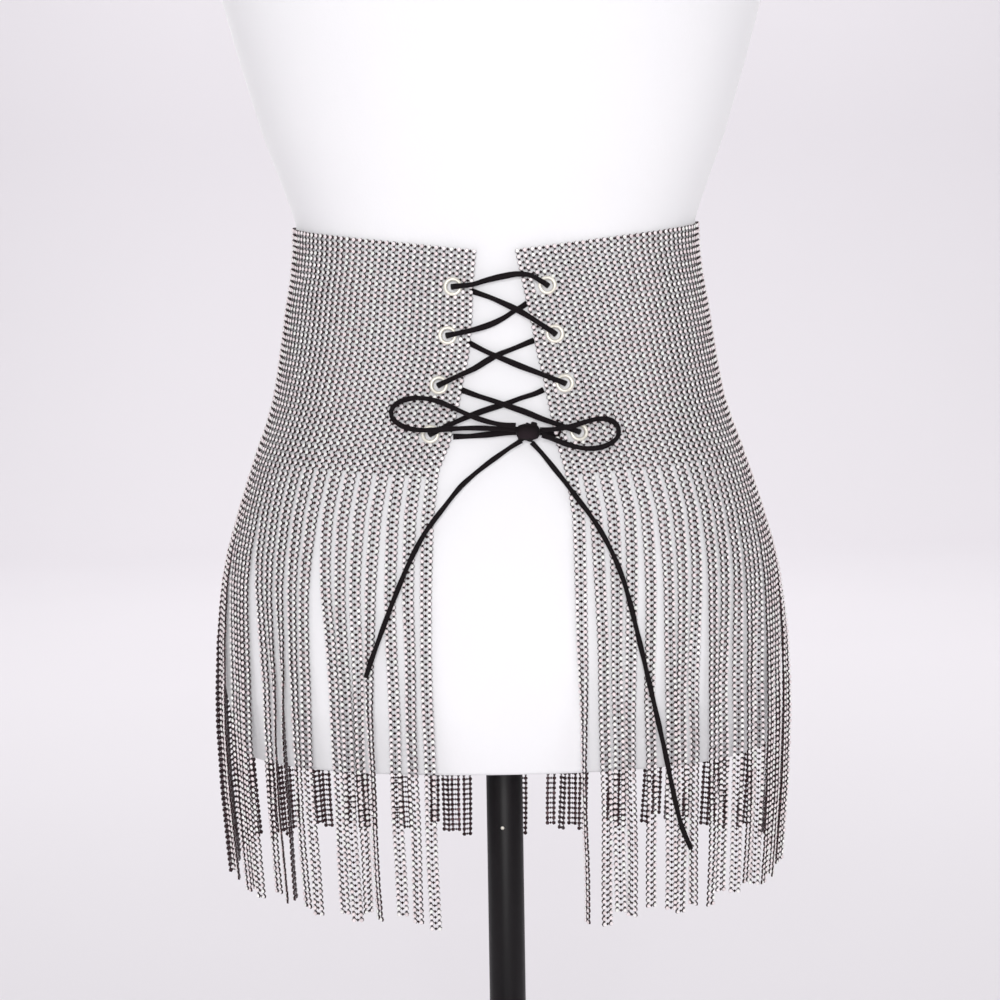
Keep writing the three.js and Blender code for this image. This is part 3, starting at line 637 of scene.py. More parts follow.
def add_base():
    base = add_cylinder("base_plate", BASE_SIDES, BASE_RADIUS, 0, BASE_HEIGHT * MM)
    bpy.ops.object.mode_set(mode="EDIT")
    select_faces(base, lambda centre, normal: normal.z > 0.9)
    bpy.ops.mesh.inset(thickness=BASE_GROOVE_IN * MM)
    bpy.ops.transform.translate(value=(0, 0, -BASE_GROOVE_DEEP * MM))
    bpy.ops.mesh.inset(thickness=BASE_GROOVE_DEEP * MM)
    bpy.ops.transform.translate(value=(0, 0, BASE_GROOVE_DEEP * MM))
    bpy.ops.object.mode_set(mode="OBJECT")
    bevel_edges(base, 1.6, 4, angle=60)
    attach(base, BODY)
    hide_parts("stand_base")
    print("base:", len(base.data.polygons), "faces")
    return base


pole, pin = add_pole()
base = add_base()

# %% [markdown]
# ## The cloth's own shape
#
# The band closes with a gap at the front that widens downwards, and its top edge rises towards
# the back. The strands start at the slits, over the hips. Below them a few neighbours close up
# into a lock, with a gap to the next lock, and each strand then hangs down.

# %% Edges of the cloth
# Share of the way round, top edge, line of the slits, ends of the strands.
EDGE_ROWS = [
    (0.0, 573.5, 455, 216.5),
    (0.04, 577, 457, 219),
    (0.1, 581.8, 460, 223),
    (0.18, 588, 464, 227),
    (0.25, 593, 467.5, 229),
    (0.32, 594.5, 469, 228),
    (0.36, 594.5, 469, 229),
    (0.43, 594.5, 469, 222),
    (0.5, 594.5, 469, 212),
]
# Height, and x of the left and of the right front edge.
FRONT_EDGES = [
    (205, -33, 39),
    (336, -35, 37.5),
    (395, -35, 37),
    (437, -33.5, 36.5),
    (461, -30.5, 32.7),
    (475, -24.5, 28.5),
    (495, -19.5, 24.8),
    (508, -17, 22.5),
    (521, -14, 19.5),
    (540, -12, 16.2),
    (557, -11.4, 12.8),
    (576, -9.5, 9),
]
FIRST_SHARE, LAST_SHARE = 0.04, 0.96
CLOTH_CLEARANCE = 0.7
LACING_CLEARANCE = 1.8
LACING_REACH = 45.0
LACING_FALL = 1.6
CLOTH_THICKNESS = 1.6
LIFT_FROM, LIFT_RISE = 458.0, 12.0


def smooth_step(value):
    value = np.clip(value, 0, 1)
    return value * value * (3 - 2 * value)


def edges_at(share):
    table = np.array(EDGE_ROWS, float)
    share = np.minimum(share, 1 - share)
    return [np.interp(share, table[:, 0], table[:, k]) for k in (1, 2, 3)]


def front_table(surface):
    """The shares of the right and left front edges at each level of a surface."""
    table = np.array(FRONT_EDGES, float)
    shares = []
    for z in surface["levels"]:
        left, right = (float(np.interp(z, table[:, 0], table[:, k])) for k in (1, 2))
        shares.append((share_at_x(surface, z, right), 1 + share_at_x(surface, z, left)))
    return np.array(shares)


for surface in (FORM, FALL):
    surface["fronts"] = front_table(surface)


def front_shares(surface, z):
    return [np.interp(z, surface["levels"], surface["fronts"][:, k]) for k in (0, 1)]


def cloth_place(along, down):
    """Height and share at a part of the way along from the right front edge, and down the band."""
    top, slit, _ = edges_at(FIRST_SHARE + (LAST_SHARE - FIRST_SHARE) * along)
    z = top + (slit - top) * down
    right, left = front_shares(FORM, z)
    return z, right + (left - right) * along


def cloth_lift(z, share):
    """How far the cloth stands off the form, more beside the lacing."""
    right, left = front_shares(FORM, z)
    from_edge = np.minimum(share - right, left - share) * length_round(FORM, z)
    beside = smooth_step(LACING_FALL * (1 - from_edge / LACING_REACH))
    return CLOTH_CLEARANCE + LACING_CLEARANCE * beside * smooth_step((z - LIFT_FROM) / LIFT_RISE)


def cloth_point(z, share, depth):
    return lifted_point(FORM, z, share, cloth_lift(z, share) + depth)


def cloth_axes(z, share, depth, step=2.0):
    """Points of the cloth with their sideways, upward and outward directions."""
    turn = step / BAND_ROUND
    sideways = cloth_point(z, share + turn, depth) - cloth_point(z, share - turn, depth)
    upward = cloth_point(z + step, share, depth) - cloth_point(z - step, share, depth)
    outward = unit(np.cross(sideways, upward))
    sideways = unit(sideways)
    return cloth_point(z, share, depth), sideways, unit(np.cross(outward, sideways)), outward


slit = edges_at(FIRST_SHARE)[1]
slit_left, slit_right = (np.interp(slit, *np.array(FRONT_EDGES)[:, [0, k]].T) for k in (1, 2))
print("front gap at the slits: %.1f mm" % (slit_right - slit_left))

# %% [markdown]
# ## The eyelets
#
# Each eyelet is a rolled metal ring with a short barrel through the cloth. It is a turned shape,
# so its profile is drawn once and spun about its axis. The copies are then laid on the cloth,
# each facing the way the cloth faces there.

# %% Eyelets
# Radius and height over the cloth, round the closed profile.
EYELET_PROFILE = [
    (3.1, -1.6), (3.6, -1.6), (3.6, 0.3), (4.6, 0.3), (4.85, 0.38), (4.95, 0.6), (4.8, 0.88),
    (4.45, 1.12), (4.05, 1.22), (3.65, 1.18), (3.35, 1.0), (3.15, 0.7), (3.1, 0.3),
]
EYELET_STEPS = 40
EYELET_FLANGE = 4.95
EYELET_FLANGE_STEP = 4.0


def eyelet_frame(number, side):
    """The centre of an eyelet on the cloth's outer face, and the cloth's directions there."""
    row = EYELETS[number]
    share = share_at_x(FORM, row["z"], row[side]) % 1
    z, share = np.array([row["z"]]), np.array([share])
    axes = cloth_axes(z, share, CLOTH_THICKNESS, step=EYELET_FLANGE_STEP)
    return [axis[0] for axis in axes]


def add_eyelet_pattern():
    deselect_all()
    bpy.ops.mesh.primitive_circle_add(vertices=len(EYELET_PROFILE), radius=MM)
    ring = bpy.context.object
    for vertex, (radius, height) in zip(ring.data.vertices, EYELET_PROFILE):
        vertex.co = (radius * MM, 0, height * MM)
    bpy.ops.object.mode_set(mode="EDIT")
    bpy.ops.mesh.select_all(action="SELECT")
    bpy.ops.mesh.spin(steps=EYELET_STEPS, angle=2 * math.pi, center=(0, 0, 0), axis=(0, 0, 1))
    bpy.ops.mesh.select_all(action="SELECT")
    bpy.ops.mesh.remove_doubles(threshold=1e-6)
    bpy.ops.mesh.normals_make_consistent(inside=False)
    bpy.ops.object.mode_set(mode="OBJECT")
    only(ring)
    bpy.ops.object.shade_smooth_by_angle(angle=math.radians(50))
    return ring


def add_eyelets():
    pattern = add_eyelet_pattern()
    made = []
    for number in EYELETS:
        for side in ("left", "right"):
            centre, sideways, upward, outward = (Vector(axis) for axis in eyelet_frame(number, side))
            place = Matrix((sideways, upward, outward)).transposed().to_4x4()
            place.translation = centre * MM
            mesh = pattern.data.copy()
            mesh.transform(place)
            ring = new_object(f"eyelet_ring_{side}_{number}", mesh)
            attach(ring, BODY)
            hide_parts(f"eyelet_{side}_{number}")
            made.append(ring)
    bpy.data.objects.remove(pattern)
    print("eyelets:", len(made), "of", len(made[0].data.polygons), "faces each")
    return made


eyelets = add_eyelets()

# %% [markdown]
# ## One stone
#
# The mesh is a net of small cut stones in dark metal cups, joined by short dark links at the
# middle of each side, which leaves an open corner between every four stones. There are nearly
# twenty thousand stones, so one is modelled with few faces: a tall six-sided cup that narrows
# to its rim, and on it a six-sided crown that rises to a flat table. A short cylinder is the
# start: its top is narrowed to the rim, then raised and narrowed again. Instances would be
# lighter, but the finished mesh has to stand on its own, so the stone is copied into joined
# meshes, each copy turned at random and tilted a little as in real settings.

# %% Stone pattern
STONE_SIDES = 6
CUP_RADIUS = 1.36
CUP_HEIGHT = 1.0
GIRDLE_RADIUS = 1.16
TABLE_RADIUS = 0.72
TABLE_HEIGHT = 1.5


def narrow_face(radius_from, radius_to, height):
    """Narrow what is selected about the stone's own axis."""
    share = radius_to / radius_from
    bpy.ops.transform.resize(value=(share, share, 1), center_override=(0, 0, height))


def add_stone_pattern():
    deselect_all()
    bpy.ops.mesh.primitive_cylinder_add(
        vertices=STONE_SIDES, radius=CUP_RADIUS, depth=CUP_HEIGHT, location=(0, 0, CUP_HEIGHT / 2)
    )
    stone = bpy.context.object
    apply_place(stone)
    bpy.ops.object.mode_set(mode="EDIT")
    bpy.ops.mesh.select_mode(type="FACE")
    select_faces(stone, lambda centre, normal: normal.z > 0.9)
    narrow_face(CUP_RADIUS, GIRDLE_RADIUS, CUP_HEIGHT)
    bpy.ops.mesh.extrude_region_move(TRANSFORM_OT_translate={"value": (0, 0, TABLE_HEIGHT - CUP_HEIGHT)})
    narrow_face(GIRDLE_RADIUS, TABLE_RADIUS, TABLE_HEIGHT)
    bpy.ops.object.mode_set(mode="OBJECT")
    vertices = np.array([vertex.co for vertex in stone.data.vertices])
    faces = [tuple(polygon.vertices) for polygon in stone.data.polygons]
    glass = [polygon.center.z > CUP_HEIGHT + 0.05 for polygon in stone.data.polygons]
    bpy.data.objects.remove(stone)
    triangles = sum(len(face) - 2 for face in faces)
    print("stone:", len(vertices), "corners,", triangles, "triangles, faces of glass", sum(glass))
    return vertices, faces, glass


STONE_VERTICES, STONE_FACES, STONE_IS_GLASS = add_stone_pattern()

# %% [markdown]
# ## Where the stones sit
#
# The real mesh is a regular grid, a little wider where it is stretched over the body. An array
# along a curve could repeat the stone, but it knows nothing of slits, eyelets and sloping edges.
# So the places are worked out as rows and columns on the cloth. The fringe goes on in the same
# columns, two to a strand, which leave the band together, close up with their lock and hang.

# %% Places of the band's stones
COLUMNS = 168
ROWS = 39
STRANDS = COLUMNS // 2
STONE_DEPTH = 0.3
EYELET_MARGIN = -0.6
# The cloth is stretched in front and at the sides, so its columns stand a little wider there.
FRONT_SPREAD = 0.1
SIDE_SPREAD = 0.05


def spread(part, front, side=0.0):
    """Parts of the way round the body, set wider in front, and at the sides, than at the back."""
    turn = 2 * math.pi * part
    return part + (front * np.sin(turn) - side * np.sin(2 * turn) / 2) / (2 * math.pi)


def band_grid():
    """The places of the band's stones, row by row, and which of them are there."""
    along = spread((np.arange(COLUMNS) + 0.5) / COLUMNS, FRONT_SPREAD, SIDE_SPREAD)
    down = (np.arange(ROWS) + 0.5) / ROWS
    along, down = np.meshgrid(along, down)
    z, share = cloth_place(along, down)
    grid = cloth_axes(z, share, STONE_DEPTH)
    there = np.ones(z.shape, bool)
    for number in EYELETS:
        for side in ("left", "right"):
            centre = eyelet_frame(number, side)[0]
            there &= np.linalg.norm(grid[0] - centre, axis=-1) > EYELET_FLANGE + EYELET_MARGIN
    return grid, there


BAND_GRID, BAND_THERE = band_grid()
print("band stones:", int(BAND_THERE.sum()))

# %% Places of the fringe's stones
# How many strands hang close together, from the right front edge round the back to the left one.
LOCKS = [
    1, 3, 1, 3, 2, 1, 2, 3, 3, 2, 4, 2, 3, 1, 3, 2, 4, 2,
    1, 4, 2, 3, 2, 4, 1, 4, 3, 3, 3, 5, 4, 1, 1, 1,
]
HANG_SPREAD = -0.087
LOCK_PITCH = 6.75
STONE_PITCH = 3.15
PAIR_PITCH = 4.0
PAIR_LENGTH = 80.0
EASE_LENGTH = 25.0
HANG_LENGTH = 130.0
FRINGE_ROWS = 84
# Used in turn: how much longer a strand is, its drift sideways, and how far it turns, in degrees.
STRAND_DIFFERENCES = [
    (0, 0.1, 6),
    (2.5, -0.2, -14),
    (-1.5, 0.2, 10),
    (1, 0, 48),
    (-3, -0.1, -8),
    (0.5, 0.2, 20),
    (3.5, -0.2, -4),
]
# Strands that hang edge-on in front, by number, with their turn.
EDGE_ON = {0: 82, 7: 74, 12: 66, 17: 38, 74: 64, 79: -58}
TURN_START = 40
TURN_LENGTH = 120
# Each strand waves a little from side to side, out of step with its neighbours.
SWAY = 0.3
SWAY_LENGTH = 95
SWAY_STEP = 2.4


def strand_order():
    """Each strand's middle of its lock, and its place in it, in strand pitches."""
    places = []
    first = 0
    for count in LOCKS:
        places += [(first + count / 2, index - (count - 1) / 2) for index in range(count)]
        first += count
    return np.array(places)


def along_share(z, along):
    """The share at a part of the way along the band, from the right front edge."""
    right, left = front_shares(FORM, z)
    return right + (left - right) * along


def fall_axes(z, share, step=2.0):
    """Points where the fringe hangs, with their sideways, upward and outward directions."""
    turn = step / FALL_ROUND
    sideways = unit(level_point(FALL, z, share + turn) - level_point(FALL, z, share - turn))
    upward = unit(level_point(FALL, z + step, share) - level_point(FALL, z - step, share))
    outward = unit(np.cross(sideways, upward))
    return level_point(FALL, z, share) - outward * TABLE_HEIGHT / 2, sideways, upward, outward


def fringe_grid():
    """The places of all the fringe's stones: rows down, and two columns for each strand."""
    order = strand_order()
    number = np.arange(STRANDS)
    longer, drift, turn = (np.array(STRAND_DIFFERENCES, float)[number % len(STRAND_DIFFERENCES)].T)
    for strand, edge_on in EDGE_ON.items():
        turn[strand] = edge_on
    place = (number + 0.5) / STRANDS
    along = spread(place, FRONT_SPREAD, SIDE_SPREAD)
    _, root, hem = edges_at(FIRST_SHARE + (LAST_SHARE - FIRST_SHARE) * along)
    row = np.arange(FRINGE_ROWS)[:, None]
    z = root - (row + 0.5) * STONE_PITCH
    there = z > hem - longer + STONE_PITCH / 2
    z = np.maximum(z, FALL["levels"][0] + 1)
    # Lower down a strand closes up with its lock, and drifts and sways a little.
    hang = smooth_step((root - z) / HANG_LENGTH)
    right, left = front_shares(FALL, z)
    round_length = length_round(FALL, z)
    close = np.minimum(LOCK_PITCH / round_length, (left - right) / STRANDS)
    free = right + (left - right) * along
    locked = right + (left - right) * spread(order[:, 0] / STRANDS, HANG_SPREAD) + order[:, 1] * close
    sway = SWAY * np.sin(2 * np.pi * (root - z) / SWAY_LENGTH + SWAY_STEP * number)
    share = free + (locked - free) * hang + (drift + sway) * hang / round_length
    # The first stones still lie on the band's surface, and the rest ease over to the fringe's.
    upper = cloth_axes(np.maximum(z, FORM["levels"][0]), along_share(z, along), STONE_DEPTH)
    lower = fall_axes(z, share)
    blend = smooth_step((root - z) / EASE_LENGTH)[..., None]
    point, sideways, upward, outward = (a + (b - a) * blend for a, b in zip(upper, lower))
    # A strand that turns edge-on moves out a little, to stay clear of the form.
    angle = np.radians(turn) * smooth_step((root - z - TURN_START) / TURN_LENGTH)
    cosine, sine = np.cos(angle)[..., None], np.sin(angle)[..., None]
    point = point + outward * np.abs(sine) * PAIR_PITCH / 3
    sideways, outward = sideways * cosine + outward * sine, outward * cosine - sideways * sine
    # The two columns of a strand close up from the band's pitch to their own.
    wide = np.gradient(along) * (left - right) * round_length
    closing = smooth_step((root - z) / PAIR_LENGTH)
    half = (wide / 2 + (PAIR_PITCH - wide / 2) * closing)[..., None] / 2
    return [point, sideways, upward, outward], half, there


FRINGE_GRID, FRINGE_HALF, FRINGE_THERE = fringe_grid()
print("fringe stones:", 2 * int(FRINGE_THERE.sum()), "on", sum(LOCKS), "strands")

# %% [markdown]
# ## The net of stones and links
#
# The real mesh is cups joined by short links, and only the links bend. Operators would take
# minutes to copy so many stones one by one, so the corners of all the copies are worked out as
# arrays and written into a mesh at once. Two halves of the band and four parts of the fringe
# keep each mesh light enough to work with.

# %% Stones copied
SETTING_TILT = 4.0


def stone_copies(point, sideways, upward, outward, random):
    """The corners of a stone at each place, turned at random and tilted a little."""
    tilt = np.radians(random.normal(0, SETTING_TILT, (2, len(point), 1)))
    leaning = unit(outward + sideways * tilt[0] + upward * tilt[1])
    turn = random.uniform(0, 2 * math.pi, (len(point), 1))
    side = unit(sideways - leaning * (sideways * leaning).sum(-1, keepdims=True))
    up = np.cross(leaning, side)
    side, up = side * np.cos(turn) + up * np.sin(turn), up * np.cos(turn) - side * np.sin(turn)
    return (
        point[:, None]
        + side[:, None] * STONE_VERTICES[None, :, :1]
        + up[:, None] * STONE_VERTICES[None, :, 1:2]
        + leaning[:, None] * STONE_VERTICES[None, :, 2:]
    )


# %% Links between neighbours
LINK_HALF = 0.95
LINK_OVERLAP = 0.3
LINK_LOW = 0.1
LINK_HIGH = 0.75
LINK_FACES = [(0, 2, 1), (0, 1, 3), (2, 0, 3), (1, 2, 3)]


def link_copies(start, end, outward):
    """Four-cornered links between two sets of places, ended a little inside the cups."""
    between = end - start
    long = unit(between)
    across = np.cross(outward, long)
    half = np.linalg.norm(between, axis=-1, keepdims=True) / 2 - CUP_RADIUS + LINK_OVERLAP
    half = np.maximum(half, LINK_OVERLAP)
    middle = (start + end) / 2
    low, high = middle + outward * LINK_LOW, middle + outward * LINK_HIGH
    side = across * LINK_HALF
    return np.stack([low - long * half, low + long * half, high - side, high + side], 1)


def pairs_of(point, outward, there, axis):
    """The places of neighbours along rows or columns that are both there."""
    count = there.shape[axis]
    first = [slice(None)] * there.ndim
    second = [slice(None)] * there.ndim
    first[axis], second[axis] = slice(0, count - 1), slice(1, count)
    first, second = tuple(first), tuple(second)
    both = there[first] & there[second]
    return point[first][both], point[second][both], outward[first][both]


# %% One mesh of stones and links
def net_mesh(name, stones, links, random):
    """One mesh of stones and links, with its finishes by face and a tone for each stone."""
    stone_corners = stone_copies(*stones, random)
    link_corners = link_copies(*links)
    count, per_stone = stone_corners.shape[:2]
    link_count = len(link_corners)
    vertices = np.concatenate([stone_corners.reshape(-1, 3), link_corners.reshape(-1, 3)]) * MM
    tones = random.uniform(0, 1, count)
    loops, sizes, finish, tone = [], [], [], []
    starts = np.arange(count)[:, None] * per_stone
    for face, glass in zip(STONE_FACES, STONE_IS_GLASS):
        loops.append((starts + np.array(face)).ravel())
        sizes.append(np.full(count, len(face)))
        finish.append(np.full(count, 0 if glass else 1))
        tone.append(tones)
    starts = count * per_stone + np.arange(link_count)[:, None] * link_corners.shape[1]
    for face in LINK_FACES:
        loops.append((starts + np.array(face)).ravel())
        sizes.append(np.full(link_count, len(face)))
        finish.append(np.full(link_count, 1))
        tone.append(np.zeros(link_count))
    loops, sizes, finish, tone = (np.concatenate(part) for part in (loops, sizes, finish, tone))
    mesh = bpy.data.meshes.new(name)
    mesh.vertices.add(len(vertices))
    mesh.vertices.foreach_set("co", vertices.astype(np.float32).ravel())
    mesh.loops.add(len(loops))
    mesh.loops.foreach_set("vertex_index", loops.astype(np.int32))
    mesh.polygons.add(len(sizes))
    firsts = np.concatenate([[0], np.cumsum(sizes)[:-1]])
    mesh.polygons.foreach_set("loop_start", firsts.astype(np.int32))
    mesh.polygons.foreach_set("loop_total", sizes.astype(np.int32))
    mesh.update(calc_edges=True)
    mesh.materials.append(None)
    mesh.materials.append(None)
    mesh.polygons.foreach_set("material_index", finish.astype(np.int32))
    attribute = mesh.attributes.new("stone_tone", "FLOAT", "FACE")
    attribute.data.foreach_set("value", tone.astype(np.float32))
    mesh.shade_flat()
    print(name, "stones", count, "links", link_count, "triangles", int((sizes - 2).sum()))
    return mesh


# %% The band, in two halves
HALF = COLUMNS // 2
BAND_SEEDS = {"right": 11, "left": 12}


def band_half(name, first, last, linked, seed):
    """The band from one column to another. Links sideways go on to the column that linked gives."""
    random = np.random.default_rng(seed)
    there = BAND_THERE[:, first:last]
    stones = [axis[:, first:last][there] for axis in BAND_GRID]
    point, outward = BAND_GRID[0][:, first:linked], BAND_GRID[3][:, first:linked]
    across = pairs_of(point, outward, BAND_THERE[:, first:linked], 1)
    down = pairs_of(point[:, : last - first], outward[:, : last - first], there, 0)
    links = [np.concatenate(pair) for pair in zip(across, down)]
    return new_object(name, net_mesh(name, stones, links, random))


band_right = band_half("stone_net_right", 0, HALF, HALF + 1, BAND_SEEDS["right"])
band_left = band_half("stone_net_left", HALF, COLUMNS, COLUMNS, BAND_SEEDS["left"])

# %% The fringe, in four parts
FRINGE_PARTS = ["front_right", "back_right", "back_left", "front_left"]
FRINGE_SEED = 21


def fringe_part(name, first, last, seed):
    """Some of the strands, each of two columns of stones."""
    random = np.random.default_rng(seed)
    there = FRINGE_THERE[:, first:last]
    point, sideways, upward, outward = (axis[:, first:last] for axis in FRINGE_GRID)
    half = FRINGE_HALF[:, first:last]
    left, right = point - sideways * half, point + sideways * half
    stones = [
        np.concatenate([column[there] for column in pair])
        for pair in ((left, right), (sideways, sideways), (upward, upward), (outward, outward))
    ]
    across = (left[there], right[there], outward[there])
    down_left, down_right = (pairs_of(column, outward, there, 0) for column in (left, right))
    top = np.stack([left[0], right[0]], 1).reshape(-1, 3)
    hem = [axis[-1, 2 * first : 2 * last] for axis in (BAND_GRID[0], BAND_GRID[3])]
    joining = (hem[0], top, hem[1])
    links = [np.concatenate(pair) for pair in zip(across, down_left, down_right, joining)]
    return new_object(name, net_mesh(name, stones, links, random))


fringe_parts = {}
for index, part in enumerate(FRINGE_PARTS):
    each = STRANDS // len(FRINGE_PARTS)
    first = index * each
    fringe_parts[part] = fringe_part(f"stone_fringe_{part}", first, first + each, FRINGE_SEED + index)

# %% [markdown]
# ## The net on the body
#
# The net is cloth to a maker: it is cut flat, stretched round the body and laced. Here each
# half of the band and each part of the fringe is attached to the body, and the imported parts
# that they stand for are hidden.

# %% The net attached to the body
halves = {"right": band_right, "left": band_left}
for side, piece in halves.items():
    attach(piece, BODY)
    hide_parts("mesh_band")
for part, piece in fringe_parts.items():
    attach(piece, BODY)
    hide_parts("fringe_" + part)

# %% [markdown]
# ## Finishes
#
# Each finish is a node material on the piece's own coordinates, so it stays in place from any
# side. A small helper makes the material and its texture coordinates, and short functions then
# add what each real surface shows: knit on the form, streaks on the pole, a weave on the lace,
# fine scratches on the eyelets, and stones that are not all equally bright.

# %% Helpers for materials
def new_material(name):
    """A material, its nodes and links, its shader, and the piece's own coordinates."""
    material = bpy.data.materials.new(name)
    material.use_nodes = True
    nodes = material.node_tree.nodes
    place = add_node(nodes, "ShaderNodeTexCoord").outputs["Object"]
    return material, nodes, material.node_tree.links, nodes["Principled BSDF"], place


def set_inputs(node, **values):
    for name, value in values.items():
        node.inputs[name.replace("_", " ")].default_value = value


def add_node(nodes, kind, settings=None, **values):
    """A node with its settings and the values of its named inputs."""
    node = nodes.new(kind)
    for name, value in (settings or {}).items():
        setattr(node, name, value)
    set_inputs(node, **values)
    return node


def noise_on(nodes, links, vector, scale, detail=3.0, stretch=(1, 1, 1)):
    """Noise of a number of lumps to the metre, stretched along the axes."""
    mapping = add_node(nodes, "ShaderNodeMapping", Scale=stretch)
    noise = add_node(nodes, "ShaderNodeTexNoise", Scale=scale, Detail=detail)
    links.new(vector, mapping.inputs["Vector"])
    links.new(mapping.outputs["Vector"], noise.inputs["Vector"])
    return noise.outputs["Fac"]


def ramp_on(nodes, links, value, *stops):
    """A colour ramp: stops are a place and a colour."""
    ramp = add_node(nodes, "ShaderNodeValToRGB")
    elements = ramp.color_ramp.elements
    while len(elements) < len(stops):
        elements.new(0.5)
    for element, (place, colour) in zip(elements, stops):
        element.position = place
        element.color = (*colour, 1)
    links.new(value, ramp.inputs["Fac"])
    return ramp.outputs["Color"]


def bump_from(nodes, links, height, shader, distance, strength=0.5):
    bump = add_node(nodes, "ShaderNodeBump", Strength=strength, Distance=distance)
    links.new(height, bump.inputs["Height"])
    links.new(bump.outputs["Normal"], shader.inputs["Normal"])


def grey(value):
    return (value, value, value)


# %% The form's white jersey and the black stand
def white_jersey():
    material, nodes, links, shader, place = new_material("white_jersey")
    soft = noise_on(nodes, links, place, 9, detail=2)
    low, high = (0.91, 0.905, 0.925), (0.935, 0.93, 0.945)
    colour = ramp_on(nodes, links, soft, (0.3, low), (0.7, high))
    links.new(colour, shader.inputs["Base Color"])
    set_inputs(shader, Roughness=0.82, Sheen_Weight=0.7, Sheen_Roughness=0.45)
    knit = noise_on(nodes, links, place, 900, detail=2, stretch=(1, 1, 0.5))
    bump_from(nodes, links, knit, shader, 0.0003, strength=0.25)
    return material


def black_metal():
    material, nodes, links, shader, place = new_material("black_metal")
    streaks = noise_on(nodes, links, place, 160, detail=4, stretch=(1, 1, 0.03))
    low, high = (0.002, 0.0016, 0.002), (0.007, 0.0055, 0.0065)
    colour = ramp_on(nodes, links, streaks, (0.35, low), (0.7, high))
    links.new(colour, shader.inputs["Base Color"])
    rough = ramp_on(nodes, links, streaks, (0.3, grey(0.35)), (0.7, grey(0.5)))
    links.new(rough, shader.inputs["Roughness"])
    set_inputs(shader, Specular_IOR_Level=0.15)
    bump_from(nodes, links, streaks, shader, 0.0001, strength=0.2)
    return material


# %% The lace's weave and the eyelets' metal
def woven_black():
    """Two sets of slanting yarns, from the lace's own map, which is in millimetres."""
    material, nodes, links, shader, _ = new_material("woven_black")
    weave = add_node(nodes, "ShaderNodeUVMap", {"uv_map": "weave"})
    bands = {"wave_type": "BANDS", "bands_direction": "X"}
    waves = []
    for slant in (38, -38):
        turn = (0, 0, math.radians(slant))
        mapping = add_node(nodes, "ShaderNodeMapping", Rotation=turn)
        wave = add_node(nodes, "ShaderNodeTexWave", bands, Scale=0.55, Distortion=1.2, Detail=2)
        links.new(weave.outputs["UV"], mapping.inputs["Vector"])
        links.new(mapping.outputs["Vector"], wave.inputs["Vector"])
        waves.append(wave.outputs["Fac"])
    both = add_node(nodes, "ShaderNodeMath", {"operation": "MULTIPLY"})
    links.new(waves[0], both.inputs[0])
    links.new(waves[1], both.inputs[1])
    low, high = (0.002, 0.0012, 0.0015), (0.012, 0.0075, 0.0095)
    colour = ramp_on(nodes, links, both.outputs[0], (0.0, low), (0.8, high))
    links.new(colour, shader.inputs["Base Color"])
    set_inputs(shader, Roughness=0.85, Specular_IOR_Level=0.12, Sheen_Weight=0.02, Sheen_Roughness=0.4)
    bump_from(nodes, links, both.outputs[0], shader, 0.0003, strength=0.7)
    return material


def champagne_metal():
    material, nodes, links, shader, place = new_material("champagne_metal")
    wear = noise_on(nodes, links, place, 420, detail=5)
    colour = ramp_on(nodes, links, wear, (0.3, (0.79, 0.75, 0.64)), (0.7, (0.92, 0.89, 0.79)))
    links.new(colour, shader.inputs["Base Color"])
    rough = ramp_on(nodes, links, wear, (0.3, grey(0.3)), (0.75, grey(0.5)))
    links.new(rough, shader.inputs["Roughness"])
    set_inputs(shader, Metallic=0.35)
    bump_from(nodes, links, wear, shader, 0.00005, strength=0.3)
    return material


# %% The stones and their cups
# Part of the tones, and the glass there. Part of the cells, and how bright their painted reflections
# are.
GLASS_TONES = [
    (0.0, (0.8, 0.7, 0.71)),
    (0.25, (1.0, 0.87, 0.88)),
    (0.6, (1.0, 0.93, 0.94)),
    (1.0, (0.98, 1.0, 0.95)),
]
FACET_REFLECTION_TONES = [(0.0, 0.8), (0.3, 0.97), (0.5, 1.0)]


def cut_glass():
    """Bright foiled glass: each stone has its own tone, and painted reflections darken some cut faces
    inside it.
    """
    material, nodes, links, shader, place = new_material("cut_glass")
    by_stone = {"attribute_type": "GEOMETRY", "attribute_name": "stone_tone"}
    tone = add_node(nodes, "ShaderNodeAttribute", by_stone)
    # Voronoi cells on the stone's own coordinates paint darker patches that stand for reflections inside
    # the glass.
    cells = add_node(nodes, "ShaderNodeTexVoronoi", {"feature": "F1"}, Scale=1100)
    links.new(place, cells.inputs["Vector"])
    split = add_node(nodes, "ShaderNodeSeparateColor")
    links.new(cells.outputs["Color"], split.inputs["Color"])
    bright = [(part, grey(value)) for part, value in FACET_REFLECTION_TONES]
    facet_reflections = ramp_on(nodes, links, split.outputs["Red"], *bright)
    stones = ramp_on(nodes, links, tone.outputs["Fac"], *GLASS_TONES)
    multiply = {"data_type": "RGBA", "blend_type": "MULTIPLY"}
    mix = add_node(nodes, "ShaderNodeMix", multiply, Factor=1.0)
    links.new(stones, mix.inputs["A"])
    links.new(facet_reflections, mix.inputs["B"])
    links.new(mix.outputs["Result"], shader.inputs["Base Color"])
    set_inputs(shader, Metallic=0.0, Roughness=0.25, IOR=1.6)
    return material


def dark_cup():
    material, nodes, links, shader, place = new_material("dark_cup")
    wear = noise_on(nodes, links, place, 500, detail=2)
    low, high = (0.012, 0.005, 0.006), (0.062, 0.034, 0.037)
    colour = ramp_on(nodes, links, wear, (0.3, low), (0.7, high))
    links.new(colour, shader.inputs["Base Color"])
    set_inputs(shader, Metallic=0.6, Roughness=0.35, Specular_IOR_Level=0.15)
    return material


# %% Finishes put on the pieces
def paint(piece, material):
    piece.data.materials.clear()
    piece.data.materials.append(material)


